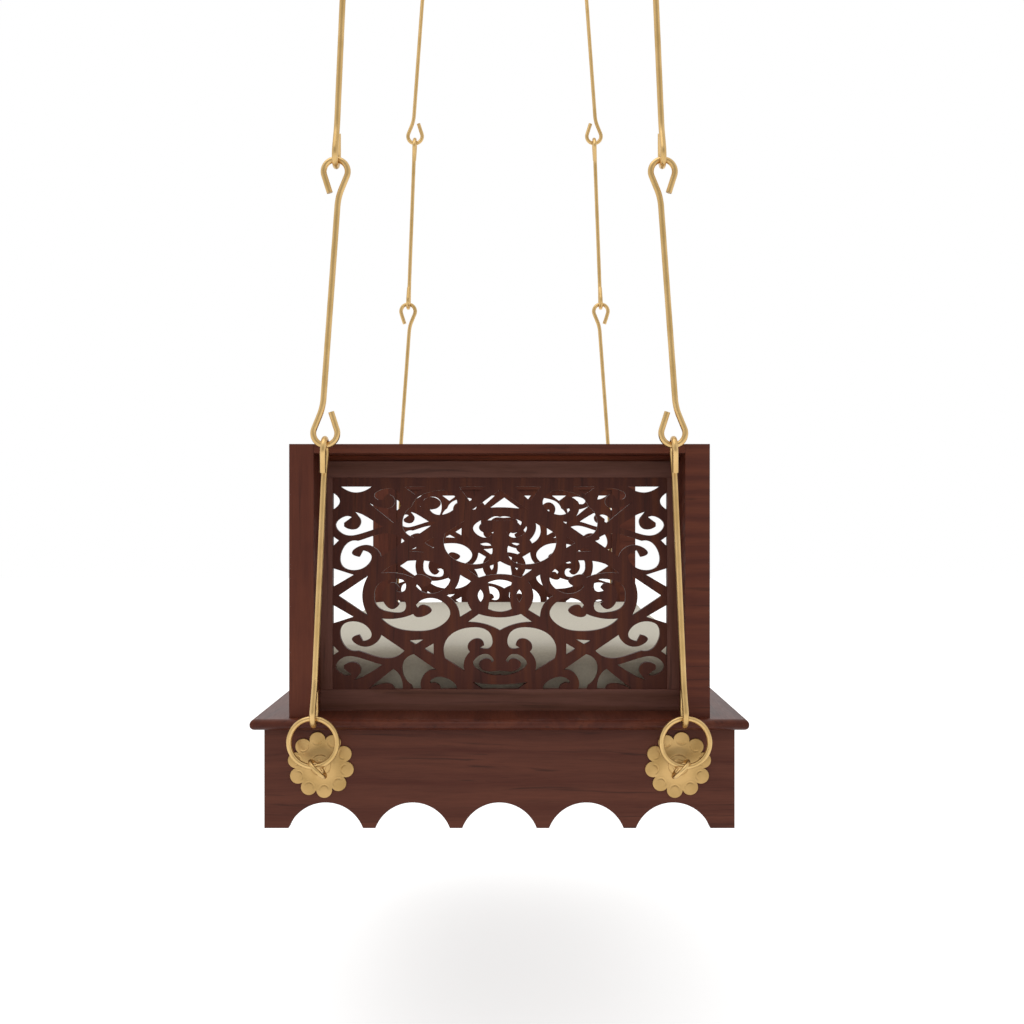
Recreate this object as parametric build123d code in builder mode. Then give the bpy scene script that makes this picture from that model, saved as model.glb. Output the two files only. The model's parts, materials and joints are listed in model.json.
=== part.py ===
from build123d import *
import math
import os

# Jhoola swing: a plank seat between two pierced arms, hung by four hook-link chains.
# Millimetres. The origin is the middle of the four ceiling fittings, on the ceiling face.
# +Z is up, X is the seat's depth and Y its length. The "near" arm is at -Y, "left" at -X.

# ---- driving sizes: seat ----
plank_length = 1220.0
plank_depth = 633.0
plank_thickness = 14.0
plank_edge_radius = 6.5
apron_overhang = 16.0
apron_height = 127.0
apron_thickness = 18.0
arch_pitch = 111.0
arch_radius = 51.0
arch_rise = 32.7
corner_block_side = 38.0
corner_block_height = 95.0
batten_width = 45.0
batten_height = 25.0
batten_count = 3
batten_spacing = 380.0

# ---- driving sizes: arms ----
arm_height = 350.0
arm_inset = 17.8
post_width = 31.4
post_depth = 78.0
post_inset = 63.1
top_rail_thickness = 12.0
shadow_gap = 7.7
spacer_thickness = 12.0
frame_thickness = 16.0
frame_top_height = 21.7
frame_bottom_height = 28.4
frame_side_width = 16.3
jali_thickness = 10.0
jali_tongue = 6.0
jali_top_border = 12.0

# ---- driving sizes: cushion ----
cushion_end_gap = 4.2
cushion_side_margin = 36.0
cushion_height = 76.0
cushion_corner_radius = 24.0
cushion_edge_radius = 18.0

# ---- driving sizes: screws ----
screw_diameter = 5.0
screw_head_diameter = 10.0
screw_bite = 34.0
screw_spacing = 42.0
batten_screw_bite = 9.0
batten_screw_inset = 145.0

# ---- driving sizes: rosettes, eyes and rings ----
petal_count = 10
petal_radius = 10.2
petal_ring_radius = 32.4
petal_turn = 7.6
rosette_plate = 2.5
rosette_dome_radius = 25.0
rosette_dome_height = 8.0
eye_wire = 5.4
eye_bend_radius = 13.2
eye_tilt = 46.0
eye_bearing_angle = 8.0
eye_shank_diameter = 8.0
eye_nut_width = 13.0
eye_nut_height = 6.5
eye_washer_diameter = 20.0
eye_washer_thickness = 1.6
eye_thread_spare = 4.0
ring_wire = 6.6
ring_bend_radius = 30.3
ring_standoff = 16.0
ring_inset = 83.7

# ---- driving sizes: chains and ceiling fittings ----
link_count = 5
link_wire = 7.7
link_pitch = 351.0
hook_bend_radius = 15.1
hook_taper = 20.0
hook_tip_drop = 27.0
rod_offset = 4.3
rod_bend_radius = 70.0
tip_round = 1.2
chain_lean_x = 69.8
ceiling_eye_wire = 9.0
ceiling_eye_bend_radius = 15.0
ceiling_eye_depth = 38.0
ceiling_shank_diameter = 14.0
ceiling_stud_diameter = 12.0
ceiling_stud_length = 60.0
ceiling_plate_diameter = 80.0
ceiling_plate_thickness = 5.0
ceiling_nut_width = 22.0
ceiling_nut_height = 11.0

# ---- clearances ----
hang_gap = 0.3
ring_play = 0.9
eye_play = 0.4
washer_gap = 0.1

# ---- sides, ends and their names ----
SIDES = {"left": -1, "right": 1}
ENDS = {"near": -1, "far": 1}

# ---- heights and places that follow ----
link_radius = link_wire / 2
ring_radius = ring_wire / 2
eye_radius = eye_wire / 2
screw_radius = screw_diameter / 2

ceiling_eye_bottom_z = -ceiling_eye_depth - ceiling_eye_bend_radius
top_joint_z = ceiling_eye_bottom_z + ceiling_eye_wire / 2 + hang_gap / 2
chain_length = link_count * link_pitch
ring_spread_x = plank_depth - 2 * ring_inset
ceiling_spread_x = ring_spread_x - 2 * chain_lean_x
plank_top_z = top_joint_z - math.sqrt(chain_length**2 - chain_lean_x**2)
plank_bottom_z = plank_top_z - plank_thickness
apron_bottom_z = plank_bottom_z - apron_height

apron_length = plank_length - 2 * apron_overhang
apron_depth = plank_depth - 2 * apron_overhang
ring_plane_y = plank_length / 2 + ring_standoff
arm_face_y = plank_length / 2 - arm_inset
post_centre_y = arm_face_y - post_depth / 2
post_centre_x = plank_depth / 2 - post_inset
post_inner_x = post_centre_x - post_width / 2
cushion_length = 2 * (arm_face_y - post_depth - cushion_end_gap)
cushion_depth = plank_depth - 2 * cushion_side_margin

frame_outer_y = arm_face_y - post_depth + frame_thickness
arm_top_z = plank_top_z + arm_height
rail_bottom_z = arm_top_z - top_rail_thickness
frame_top_z = rail_bottom_z - shadow_gap
panel_top_z = frame_top_z - frame_top_height
panel_bottom_z = plank_top_z + frame_bottom_height
panel_half_width = post_inner_x - frame_side_width
panel_centre_y = frame_outer_y - frame_thickness / 2
pierced_top_z = panel_top_z - jali_top_border


def save(piece, name):
    """Label a finished piece and write it as the node of that name."""
    piece.part.label = name
    export_step(piece.part, f"parts/{name}.step")


# ---- seat: plank, aprons, blocks, battens and screws ----
arm_screw_places = [
    (side * post_centre_x, end * post_centre_y + step * screw_spacing / 2)
    for side in SIDES.values()
    for end in ENDS.values()
    for step in (-1, 1)
]
batten_places = [(index - (batten_count - 1) / 2) * batten_spacing for index in range(batten_count)]
batten_screw_places = [
    (side * (apron_depth / 2 - batten_screw_inset), batten_y)
    for side in SIDES.values()
    for batten_y in batten_places
]


def make_plank():
    """The seat board, with a rounded edge and holes for the screws of the arms and battens."""
    with BuildPart() as plank:
        with BuildSketch(Plane.XY.offset(plank_bottom_z)):
            Rectangle(plank_depth, plank_length)
        extrude(amount=plank_thickness)
        fillet(plank.faces().sort_by(Axis.Z)[-1].edges(), plank_edge_radius)
        fillet(plank.faces().sort_by(Axis.Z)[0].edges(), plank_edge_radius)
        with Locations(Plane.XY.offset(plank_bottom_z)):
            with Locations(*[Location((x, y, 0), (180, 0, 0)) for x, y in arm_screw_places]):
                CounterSinkHole(screw_radius, screw_head_diameter / 2, plank_thickness)
        with BuildSketch(Plane.XY.offset(plank_bottom_z)):
            with Locations(*batten_screw_places):
                Circle(screw_radius)
        extrude(amount=batten_screw_bite, mode=Mode.SUBTRACT)
    return plank


def draw_arches(plane, length):
    """The scallops along the lower edge of an apron: as many equal arches as fit."""
    half_chord = math.sqrt(arch_radius**2 - (arch_radius - arch_rise) ** 2)
    count = int((length - 2 * half_chord) // arch_pitch) + 1
    with BuildSketch(plane) as arches:
        with GridLocations(arch_pitch, 1, count, 1):
            with Locations((0, arch_rise - arch_radius)):
                Circle(arch_radius)
    return arches.sketch


def make_end_apron(end):
    """The apron board under one end, with arches and two holes for the eye bolts."""
    face_y = end * apron_length / 2
    outer = Plane((0, face_y, apron_bottom_z), x_dir=(end, 0, 0), z_dir=(0, -end, 0))
    with BuildPart() as apron:
        with BuildSketch(outer):
            with Locations((0, apron_height / 2)):
                Rectangle(apron_depth, apron_height)
        extrude(amount=apron_thickness)
        extrude(draw_arches(outer, apron_depth), amount=apron_thickness, mode=Mode.SUBTRACT)
        with BuildSketch(outer):
            with Locations(*[(side * eye_centre_x, eye_centre_z - apron_bottom_z) for side in (-1, 1)]):
                Circle(eye_shank_diameter / 2)
        extrude(amount=apron_thickness, mode=Mode.SUBTRACT)
    return apron


def make_side_apron(side):
    """The long apron board on one side, between the two end boards."""
    length = apron_length - 2 * apron_thickness
    face_x = side * apron_depth / 2
    outer = Plane((face_x, 0, apron_bottom_z), x_dir=(0, -side, 0), z_dir=(-side, 0, 0))
    with BuildPart() as apron:
        with BuildSketch(outer):
            with Locations((0, apron_height / 2)):
                Rectangle(length, apron_height)
        extrude(amount=apron_thickness)
        extrude(draw_arches(outer, length), amount=apron_thickness, mode=Mode.SUBTRACT)
    return apron


def make_corner_blocks():
    """Four glue blocks inside the corners of the aprons."""
    x = apron_depth / 2 - apron_thickness - corner_block_side / 2
    y = apron_length / 2 - apron_thickness - corner_block_side / 2
    with BuildPart() as blocks:
        with BuildSketch(Plane.XY.offset(plank_bottom_z)):
            with GridLocations(2 * x, 2 * y, 2, 2):
                Rectangle(corner_block_side, corner_block_side)
        extrude(amount=-corner_block_height)
    return blocks


def make_battens():
    """Cross battens that stiffen the plank, drilled for their screws."""
    with BuildPart() as battens:
        with BuildSketch(Plane.XY.offset(plank_bottom_z)):
            with Locations(*[(0, y) for y in batten_places]):
                Rectangle(apron_depth - 2 * apron_thickness, batten_width)
        extrude(amount=-batten_height)
        with Locations(*[
            Location((x, y, plank_bottom_z - batten_height), (180, 0, 0))
            for x, y in batten_screw_places
        ]):
            CounterSinkHole(screw_radius, screw_head_diameter / 2, batten_height)
    return battens


def make_screws(places, head_z, length):
    """Countersunk screws driven upwards, one solid at each place."""
    head_radius = screw_head_diameter / 2
    head_depth = head_radius - screw_radius
    with BuildPart() as screws:
        with Locations(*[(x, y, head_z) for x, y in places]):
            Cylinder(screw_radius, length, align=(Align.CENTER, Align.CENTER, Align.MIN))
            Cone(head_radius, screw_radius, head_depth, align=(Align.CENTER, Align.CENTER, Align.MIN))
    return screws


def make_cushion():
    """The seat cushion as a plain rounded block that rests on the plank."""
    with BuildPart() as cushion:
        with BuildSketch(Plane.XY.offset(plank_top_z)):
            RectangleRounded(cushion_depth, cushion_length, cushion_corner_radius)
        extrude(amount=cushion_height)
        fillet(cushion.faces().sort_by(Axis.Z)[-1].edges(), cushion_edge_radius)
        fillet(cushion.faces().sort_by(Axis.Z)[0].edges(), cushion_edge_radius / 2)
    return cushion


# ---- arms: posts, rails, the frame and the jali ----
def make_post(side, end):
    """One upright of an arm, drilled from below for its two screws."""
    with BuildPart() as post:
        with BuildSketch(Plane.XY.offset(plank_top_z)):
            with Locations((side * post_centre_x, end * post_centre_y)):
                Rectangle(post_width, post_depth)
        extrude(amount=arm_height)
        with BuildSketch(Plane.XY.offset(plank_top_z)):
            with Locations(*[
                (side * post_centre_x, end * post_centre_y + step * screw_spacing / 2)
                for step in (-1, 1)
            ]):
                Circle(screw_radius)
        extrude(amount=screw_bite, mode=Mode.SUBTRACT)
    return post


def make_bar(end, half_width, bottom_z, top_z, outer_y, thickness):
    """A straight bar across an arm between two heights, behind a given outer face."""
    with BuildPart() as bar:
        with BuildSketch(Plane.XY.offset(bottom_z)):
            with Locations((0, end * (outer_y - thickness / 2))):
                Rectangle(2 * half_width, thickness)
        extrude(amount=top_z - bottom_z)
    return bar


def make_top_rail(end):
    """The flat rail across the top of an arm, level with the tops of its posts."""
    return make_bar(end, post_inner_x, rail_bottom_z, arm_top_z, arm_face_y, post_depth)


def make_rail_spacer(end):
    """The set-back strip that leaves a dark shadow line under the top rail."""
    spacer_y = frame_outer_y - (frame_thickness - spacer_thickness)
    return make_bar(end, post_inner_x, frame_top_z, rail_bottom_z, spacer_y, spacer_thickness)


def panel_blank(end):
    """The jali's board before it is pierced, which also ploughs the grooves that hold it."""
    with BuildPart() as blank:
        with BuildSketch(Plane.XY.offset(panel_bottom_z - jali_tongue)):
            with Locations((0, end * panel_centre_y)):
                Rectangle(2 * (panel_half_width + jali_tongue), jali_thickness)
        extrude(amount=panel_top_z - panel_bottom_z + 2 * jali_tongue)
    return blank.part


def make_frame_bar(end, bottom_z, top_z):
    """The upper or lower bar of the jali's frame, with its groove."""
    with BuildPart() as bar:
        add(make_bar(end, post_inner_x, bottom_z, top_z, frame_outer_y, frame_thickness).part)
        add(panel_blank(end), mode=Mode.SUBTRACT)
    return bar


def make_frame_sides(end):
    """The two upright battens of the jali's frame, with their grooves."""
    with BuildPart() as battens:
        with BuildSketch(Plane.XY.offset(panel_bottom_z)):
            with GridLocations(2 * (post_inner_x - frame_side_width / 2), 1, 2, 1):
                with Locations((0, end * panel_centre_y)):
                    Rectangle(frame_side_width, frame_thickness)
        extrude(amount=panel_top_z - panel_bottom_z)
        add(panel_blank(end), mode=Mode.SUBTRACT)
    return battens


# The jali is drawn on a grid from its middle: u units across, v units up or down.
# Each outline is a chain of strokes. A stroke of one point is a straight line to it,
# and a longer one is a smooth curve through its points, from where the last stroke ended.
grid_half_width = 166.3
grid_above = 108.6
grid_below = 92.7

outline_side_wedge = [(160.9, 0), [(131.2, 20)], [(137, 0), (131.2, -20)], [(160.9, 0)]]
outline_edge_wedge = [(170, 6.8), [(145.6, 20.9)], [(170, 28.7)], [(170, 6.8)]]
outline_edge_notch = [(170, 45.6), [(160.3, 55.1)], [(170, 61.9)], [(170, 45.6)]]
outline_leaf_scroll = [
    (95, 54.5),
    [(118.3, 38.7)],
    [(126.6, 48.9), (138.8, 49.8), (147.2, 43.4), (139.9, 38.7)],
    [(136.4, 45.2)],
    [(127.7, 38.7), (135.3, 28.2), (157.6, 30.4), (155.1, 49.2), (141.1, 54.6)],
    [(125.9, 59.7), (110.8, 62.1), (95, 54.5)],
]
outline_low_scroll = [
    (116.6, 68.5),
    [(139.9, 61.5), (157.4, 62.1), (163.6, 70.8), (157.4, 77.8), (147.5, 78.2)],
    [(155.1, 72.6)],
    [(155.1, 69.1)],
    [(149.3, 66.2), (142.8, 66.7), (138.8, 72), (140.3, 78.4)],
    [(144.6, 83.7)],
    [(137, 81)],
    [(130.6, 77.4), (116.6, 68.5)],
]
outline_bud_scroll = [
    (132.1, 93.6),
    [(126, 90.2), (119.6, 88.1), (107.6, 88.6), (104.6, 94.6), (109.6, 100.7), (115.6, 95.6)],
    [(121.3, 95.4)],
    [(125.3, 100.1), (116.6, 106.2), (100.1, 102.6), (96.6, 89.6), (106.1, 72.6)],
    [(132.1, 93.6)],
]
outline_wave_scroll = [
    (85.7, 58),
    [(97.1, 69.6), (95.5, 80.4), (88, 88.9)],
    [(83.2, 96.9), (66.1, 104.1), (49.6, 103.1), (42.6, 92.6), (55.9, 81), (69.9, 85.4)],
    [(68.8, 87.1)],
    [(62.9, 87.1), (59.1, 91.6), (67.6, 98.3), (78.6, 90.6), (77.6, 81.9), (62.9, 73.7)],
    [(85.7, 58)],
]
outline_slit = [(90.9, 44.4), [(75.8, 43.4)], [(83.9, 48.3)], [(90.9, 44.4)]]
outline_wedge = [(75.2, 52.7), [(66.1, 47.4)], [(65.9, 58.6)], [(75.2, 52.7)]]
outline_great_scroll = [
    (118.3, 22.5),
    [(100.6, 22.3), (86.2, 18.1)],
    [(72.3, 18.9), (68.1, 14.9), (76.1, 9), (81.7, 12.5)],
    [(83.8, 9.5)],
    [(75, 3.1), (57.9, 5.3), (49.5, 17.2), (58.3, 29.4), (83.9, 35.2), (107.3, 30.6), (118.3, 22.5)],
]
outline_open_link = [
    (124.9, 0),
    [(120.9, 11.7), (107.8, 16.4), (94.6, 13.9), (94.2, 6.4), (99, 3.7)],
    [(103.5, 4.7)],
    [(100.1, 8.2)],
    [(108.6, 13), (115.5, 6.4), (115.5, -6.4), (108.6, -13), (100.1, -8.2)],
    [(103.5, -4.7)],
    [(99, -3.7)],
    [(94.2, -6.4), (94.6, -13.9), (107.8, -16.4), (120.9, -11.7), (124.9, 0)],
]
outline_shield = [
    (53, 0),
    [(44.7, 6.9), (39.9, 21.1)],
    [(28.2, 14.1)],
    [(33.4, 0), (28.2, -14.1)],
    [(39.9, -21.1)],
    [(44.7, -6.9), (53, 0)],
]
outline_eye = [(9.6, 0), [(11.8, 13.2)], [(0, 16), (-11.8, 13.2)], [(-9.6, 0), (-11.8, -13.2)],
               [(0, -16), (11.8, -13.2)], [(9.6, 0)]]
outline_eye_slit = [(19.3, 6.3), [(16.5, 0), (19.3, -6.3)], [(22.1, 0), (19.3, 6.3)]]
outline_crown = [
    (32.2, 26.1),
    [(20.9, 18.1)],
    [(0, 21.5), (-20.9, 18.1)],
    [(-32.2, 26.1)],
    [(-12.4, 28.9), (0, 34.4)],
    [(12.4, 28.9), (32.2, 26.1)],
]
outline_heart_scroll = [
    (54.8, 62.1),
    [(51.3, 41.1), (30.3, 31.5), (9.3, 38.1), (8.1, 49.2), (19.8, 51.6)],
    [(15.7, 49.2)],
    [(22.1, 42.5), (31.4, 47.5), (29.7, 55.6)],
    [(36.1, 69.1), (34.9, 74.9)],
    [(54.8, 62.1)],
]
outline_whisker = [
    (0, 78.2),
    [(15.1, 76.7), (26.8, 66.7), (18.6, 58.6), (5.8, 64.4)],
    [(8.1, 66.2)],
    [(15.5, 62.6), (20.9, 67.8), (16.3, 73.7), (0, 74.4)]
    + [(-16.3, 73.7), (-20.9, 67.8), (-15.5, 62.6), (-8.1, 66.2)],
    [(-5.8, 64.4)],
    [(-18.6, 58.6), (-26.8, 66.7), (-15.1, 76.7), (0, 78.2)],
]
outline_pediment = [(27.6, 85.6), [(0, 88.1), (-27.6, 85.6)], [(0, 105.6)], [(27.6, 85.6)]]
outline_top_wedge = [(41.5, 109.4), [(30.1, 94.1)], [(13.7, 109.4)], [(41.5, 109.4)]]
outline_top_notch = [(96.7, 109.4), [(84.6, 100.6)], [(72.5, 109.4)], [(96.7, 109.4)]]
outline_top_lens = [(158.6, 108.6), [(143.1, 102.8), (127.6, 108.6)], [(143.1, 110)], [(158.6, 108.6)]]
outline_side_moon = [(168, 103.6), [(159.3, 94.1), (168, 84.6)], [(168, 103.6)]]

FOUR_WAYS = [(1, 1), (-1, 1), (1, -1), (-1, -1)]
LEFT_RIGHT = [(1, 1), (-1, 1)]
UP_DOWN = [(1, 1), (1, -1)]
jali_outlines = [
    (outline_side_wedge, LEFT_RIGHT),
    (outline_edge_wedge, FOUR_WAYS),
    (outline_edge_notch, FOUR_WAYS),
    (outline_leaf_scroll, FOUR_WAYS),
    (outline_low_scroll, FOUR_WAYS),
    (outline_bud_scroll, FOUR_WAYS),
    (outline_wave_scroll, FOUR_WAYS),
    (outline_slit, FOUR_WAYS),
    (outline_wedge, FOUR_WAYS),
    (outline_great_scroll, FOUR_WAYS),
    (outline_open_link, LEFT_RIGHT),
    (outline_shield, LEFT_RIGHT),
    (outline_eye, [(1, 1)]),
    (outline_eye_slit, LEFT_RIGHT),
    (outline_crown, UP_DOWN),
    (outline_heart_scroll, FOUR_WAYS),
    (outline_whisker, UP_DOWN),
    (outline_pediment, UP_DOWN),
    (outline_top_wedge, LEFT_RIGHT),
    (outline_top_notch, LEFT_RIGHT),
    (outline_top_lens, LEFT_RIGHT),
    (outline_side_moon, LEFT_RIGHT),
]
grid_unit_across = panel_half_width / grid_half_width
grid_unit_up = (pierced_top_z - panel_bottom_z) / (grid_above + grid_below)
grid_middle_z = panel_bottom_z + grid_below * grid_unit_up


def draw_outline(strokes, flip_u, flip_v):
    """Draw one closed outline of the jali in the open line, flipped as asked."""
    def place(point):
        return (point[0] * flip_u * grid_unit_across, point[1] * flip_v * grid_unit_up)

    pen = place(strokes[0])
    for stroke in strokes[1:]:
        points = [place(point) for point in stroke]
        if len(points) == 1:
            Line(pen, points[0])
        else:
            Spline(pen, *points)
        pen = points[-1]


def draw_pierced_pattern(plane):
    """The sketch of all the jali's holes, cut off at the edge of the frame."""
    with BuildSketch(plane) as pattern:
        for strokes, flips in jali_outlines:
            for flip_u, flip_v in flips:
                with BuildLine():
                    draw_outline(strokes, flip_u, flip_v)
                make_face()
        window_height = pierced_top_z - panel_bottom_z
        with Locations((0, (grid_above - grid_below) / 2 * grid_unit_up)):
            Rectangle(2 * panel_half_width, window_height, mode=Mode.INTERSECT)
    return pattern.sketch


def make_jali(end):
    """The pierced panel of an arm, with a tongue all round."""
    outer_y = end * (panel_centre_y + jali_thickness / 2)
    middle = Plane((0, outer_y, grid_middle_z), x_dir=(end, 0, 0), z_dir=(0, -end, 0))
    with BuildPart() as panel:
        add(panel_blank(end))
        extrude(draw_pierced_pattern(middle), amount=jali_thickness, mode=Mode.SUBTRACT)
    return panel


# ---- chains: the line of each chain, its links and its ring ----
def chain_up(side):
    """The direction of a chain, from its ring up to its ceiling eye."""
    return Vector(-side * chain_lean_x, 0, top_joint_z - plank_top_z).normalized()


def joint_point(side, end, joint):
    """The middle of a chain's joint. Joint 0 is at the ring and the last at the ceiling."""
    top = Vector(side * ceiling_spread_x / 2, end * ring_plane_y, top_joint_z)
    return top - chain_up(side) * (link_count - joint) * link_pitch


def link_plane(side, end, number):
    """The plane that a link is bent in. Odd links lie end-on and even links face-on."""
    up = chain_up(side)
    outward = Vector(0, end, 0)
    if number % 2 == 0:
        outward = up.cross(Vector(0, 1, 0)) * -side
    centre = joint_point(side, end, number) - up * link_pitch / 2
    return Plane(centre, x_dir=outward, z_dir=outward.cross(up))


def make_link(side, end, number):
    """A long S-shaped rod with a hook at each end, swept along its own bent line."""
    upper_gap = hang_gap
    lower_gap = ring_play if number == 1 else hang_gap
    top_v = link_pitch / 2 + link_radius + upper_gap / 2
    foot_v = -link_pitch / 2 - link_radius - lower_gap / 2
    taper = math.radians(hook_taper)
    reach = hook_bend_radius * math.cos(taper)
    fall = hook_bend_radius * math.sin(taper)
    tip_run = (hook_tip_drop - fall) * math.tan(taper)
    knee_drop = fall + (reach - rod_offset) / math.tan(taper)
    upper = top_v - hook_bend_radius
    lower = foot_v + hook_bend_radius
    plane = link_plane(side, end, number)
    with BuildPart() as link:
        with BuildLine(plane) as bend:
            Line((reach - tip_run, upper - hook_tip_drop), (reach, upper - fall))
            CenterArc((0, upper), hook_bend_radius, -hook_taper, 180 + 2 * hook_taper)
            FilletPolyline(
                (-reach, upper - fall),
                (-rod_offset, upper - knee_drop),
                (rod_offset, lower + knee_drop),
                (reach, lower + fall),
                radius=rod_bend_radius,
            )
            CenterArc((0, lower), hook_bend_radius, hook_taper, -180 - 2 * hook_taper)
            Line((-reach, lower + fall), (tip_run - reach, lower + hook_tip_drop))
        with BuildSketch(Plane(bend.line @ 0, z_dir=bend.line % 0)):
            Circle(link_radius)
        sweep(path=bend.line)
        tips = link.faces().filter_by(GeomType.PLANE)
        fillet(tips.edges(), tip_round)
    return link


def ring_centre(side, end):
    """The middle of the ring, which hangs in the lowest link's hook."""
    top_wire = joint_point(side, end, 0) + chain_up(side) * (ring_radius + ring_play / 2)
    return top_wire - chain_up(side) * ring_bend_radius


def make_ring(side, end):
    """The round ring that joins a chain to the seat's eye."""
    with BuildPart(Plane(ring_centre(side, end), z_dir=(0, 1, 0))) as ring:
        Torus(ring_bend_radius, ring_radius)
    return ring


# ---- eyes and rosettes ----
def eye_bearing(side, end):
    """The middle of the eye's wire where it bears on the ring: the seat tilts about it."""
    reach = ring_bend_radius - ring_radius - eye_radius - eye_play
    angle = math.radians(eye_bearing_angle)
    offset = Vector(side * math.sin(angle), 0, -math.cos(angle)) * reach
    return ring_centre(side, end) + offset


def eye_centre(side, end):
    """The middle of the eye's loop, which leans inwards below its bearing."""
    tilt = math.radians(eye_tilt)
    lean = Vector(-side * math.cos(tilt), 0, -math.sin(tilt)) * eye_bend_radius
    return eye_bearing(side, end) + lean


eye_centre_x = eye_centre(1, 1).X
eye_centre_z = eye_centre(1, 1).Z
apron_face_y = apron_length / 2
eye_back_y = ring_plane_y - eye_bend_radius
eye_shank_end_y = (
    apron_face_y - apron_thickness - eye_washer_thickness - eye_nut_height - eye_thread_spare
)


def outward_plane(side, end, y):
    """A plane across the eye bolt's axis at a distance y from the middle, facing outwards."""
    return Plane((side * eye_centre_x, end * y, eye_centre_z), x_dir=(-end, 0, 0), z_dir=(0, end, 0))


def make_eye_bolts():
    """Four eye bolts: a bent loop that holds the ring, on a shank through the apron."""
    with BuildPart() as bolts:
        for side in SIDES.values():
            for end in ENDS.values():
                tilt = math.radians(eye_tilt)
                normal = (-side * math.sin(tilt), 0, math.cos(tilt))
                with Locations(Plane(eye_centre(side, end), z_dir=normal)):
                    Torus(eye_bend_radius, eye_radius)
                with BuildSketch(outward_plane(side, end, eye_back_y)):
                    Circle(eye_shank_diameter / 2)
                extrude(amount=eye_shank_end_y - eye_back_y)
    return bolts


def make_rosettes(end):
    """The two flower plates of one end: round petals about a shallow dome with a hole."""
    with BuildPart() as rosettes:
        for side in SIDES.values():
            back = outward_plane(side, end, apron_face_y)
            with BuildSketch(back):
                Circle(petal_ring_radius)
                turn = 90 + side * end * petal_turn
                with PolarLocations(petal_ring_radius, petal_count, start_angle=turn):
                    Circle(petal_radius)
            extrude(amount=rosette_plate)
            axis = Axis(back.origin, back.z_dir)
            profile = Plane(back.origin, x_dir=(side, 0, 0), z_dir=(0, 0, side * end))
            with BuildSketch(profile):
                with BuildLine():
                    edge = (rosette_dome_radius, rosette_plate)
                    crest = (0, rosette_plate + rosette_dome_height)
                    TangentArc(crest, edge, tangent=(1, 0))
                    Polyline(edge, (rosette_dome_radius, 0), (0, 0), crest)
                make_face()
            revolve(axis=axis)
            with BuildSketch(back):
                Circle(eye_shank_diameter / 2)
            extrude(amount=rosette_plate + rosette_dome_height, mode=Mode.SUBTRACT)
    return rosettes


def make_eye_nuts():
    """A washer and a hexagon nut on each eye bolt, inside the apron."""
    inner_y = apron_face_y - apron_thickness
    with BuildPart() as nuts:
        for side in SIDES.values():
            for end in ENDS.values():
                seat_y = inner_y - eye_washer_thickness
                with BuildSketch(outward_plane(side, end, inner_y)):
                    Circle(eye_washer_diameter / 2)
                    Circle(eye_shank_diameter / 2, mode=Mode.SUBTRACT)
                extrude(amount=-eye_washer_thickness)
                with BuildSketch(outward_plane(side, end, seat_y - washer_gap)):
                    RegularPolygon(eye_nut_width / 2, 6, major_radius=False)
                    Circle(eye_shank_diameter / 2, mode=Mode.SUBTRACT)
                extrude(amount=-eye_nut_height)
    return nuts


# ---- ceiling fittings ----
stud_grid = (ceiling_spread_x, 2 * ring_plane_y, 2, 2)


def make_ceiling_eyes():
    """Four ceiling eye bolts: a closed eye, a shank below the ceiling and a stud inside it."""
    with BuildPart() as eyes:
        with GridLocations(*stud_grid):
            with Locations(Location((0, 0, -ceiling_eye_depth), (90, 0, 0))):
                Torus(ceiling_eye_bend_radius, ceiling_eye_wire / 2)
        with BuildSketch():
            with GridLocations(*stud_grid):
                Circle(ceiling_shank_diameter / 2)
        extrude(amount=ceiling_eye_bend_radius - ceiling_eye_depth)
        with BuildSketch():
            with GridLocations(*stud_grid):
                Circle(ceiling_stud_diameter / 2)
        extrude(amount=ceiling_stud_length)
    return eyes


def make_ceiling_plates():
    """Four round cover plates against the ceiling."""
    with BuildPart() as plates:
        with BuildSketch():
            with GridLocations(*stud_grid):
                Circle(ceiling_plate_diameter / 2)
                Circle(ceiling_shank_diameter / 2, mode=Mode.SUBTRACT)
        extrude(amount=-ceiling_plate_thickness)
    return plates


def make_ceiling_nuts():
    """Four hexagon lock nuts under the cover plates."""
    with BuildPart() as nuts:
        with BuildSketch(Plane.XY.offset(-ceiling_plate_thickness)):
            with GridLocations(*stud_grid):
                RegularPolygon(ceiling_nut_width / 2, 6, major_radius=False)
                Circle(ceiling_shank_diameter / 2, mode=Mode.SUBTRACT)
        extrude(amount=-ceiling_nut_height)
    return nuts


# ---- build and write every piece ----
os.makedirs("parts", exist_ok=True)

save(make_plank(), "seat_plank")
save(make_corner_blocks(), "corner_blocks")
save(make_battens(), "cross_battens")
save(make_cushion(), "cushion")
save(make_screws(arm_screw_places, plank_bottom_z, plank_thickness + screw_bite), "arm_screws")
batten_bottom_z = plank_bottom_z - batten_height
batten_screw_length = batten_height + batten_screw_bite
save(make_screws(batten_screw_places, batten_bottom_z, batten_screw_length), "batten_screws")

for side_name, side in SIDES.items():
    save(make_side_apron(side), f"{side_name}_side_apron")

for end_name, end in ENDS.items():
    save(make_end_apron(end), f"{end_name}_end_apron")
    save(make_rosettes(end), f"{end_name}_rosettes")
    save(make_top_rail(end), f"{end_name}_top_rail")
    save(make_rail_spacer(end), f"{end_name}_rail_spacer")
    save(make_frame_bar(end, panel_top_z, frame_top_z), f"{end_name}_frame_top")
    save(make_frame_bar(end, plank_top_z, panel_bottom_z), f"{end_name}_frame_bottom")
    save(make_frame_sides(end), f"{end_name}_frame_sides")
    save(make_jali(end), f"{end_name}_jali")
    for side_name, side in SIDES.items():
        corner = f"{end_name}_{side_name}"
        save(make_post(side, end), f"{corner}_post")
        save(make_ring(side, end), f"{corner}_ring")
        for number in range(1, link_count + 1):
            save(make_link(side, end, number), f"{corner}_link_{number}")

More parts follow.
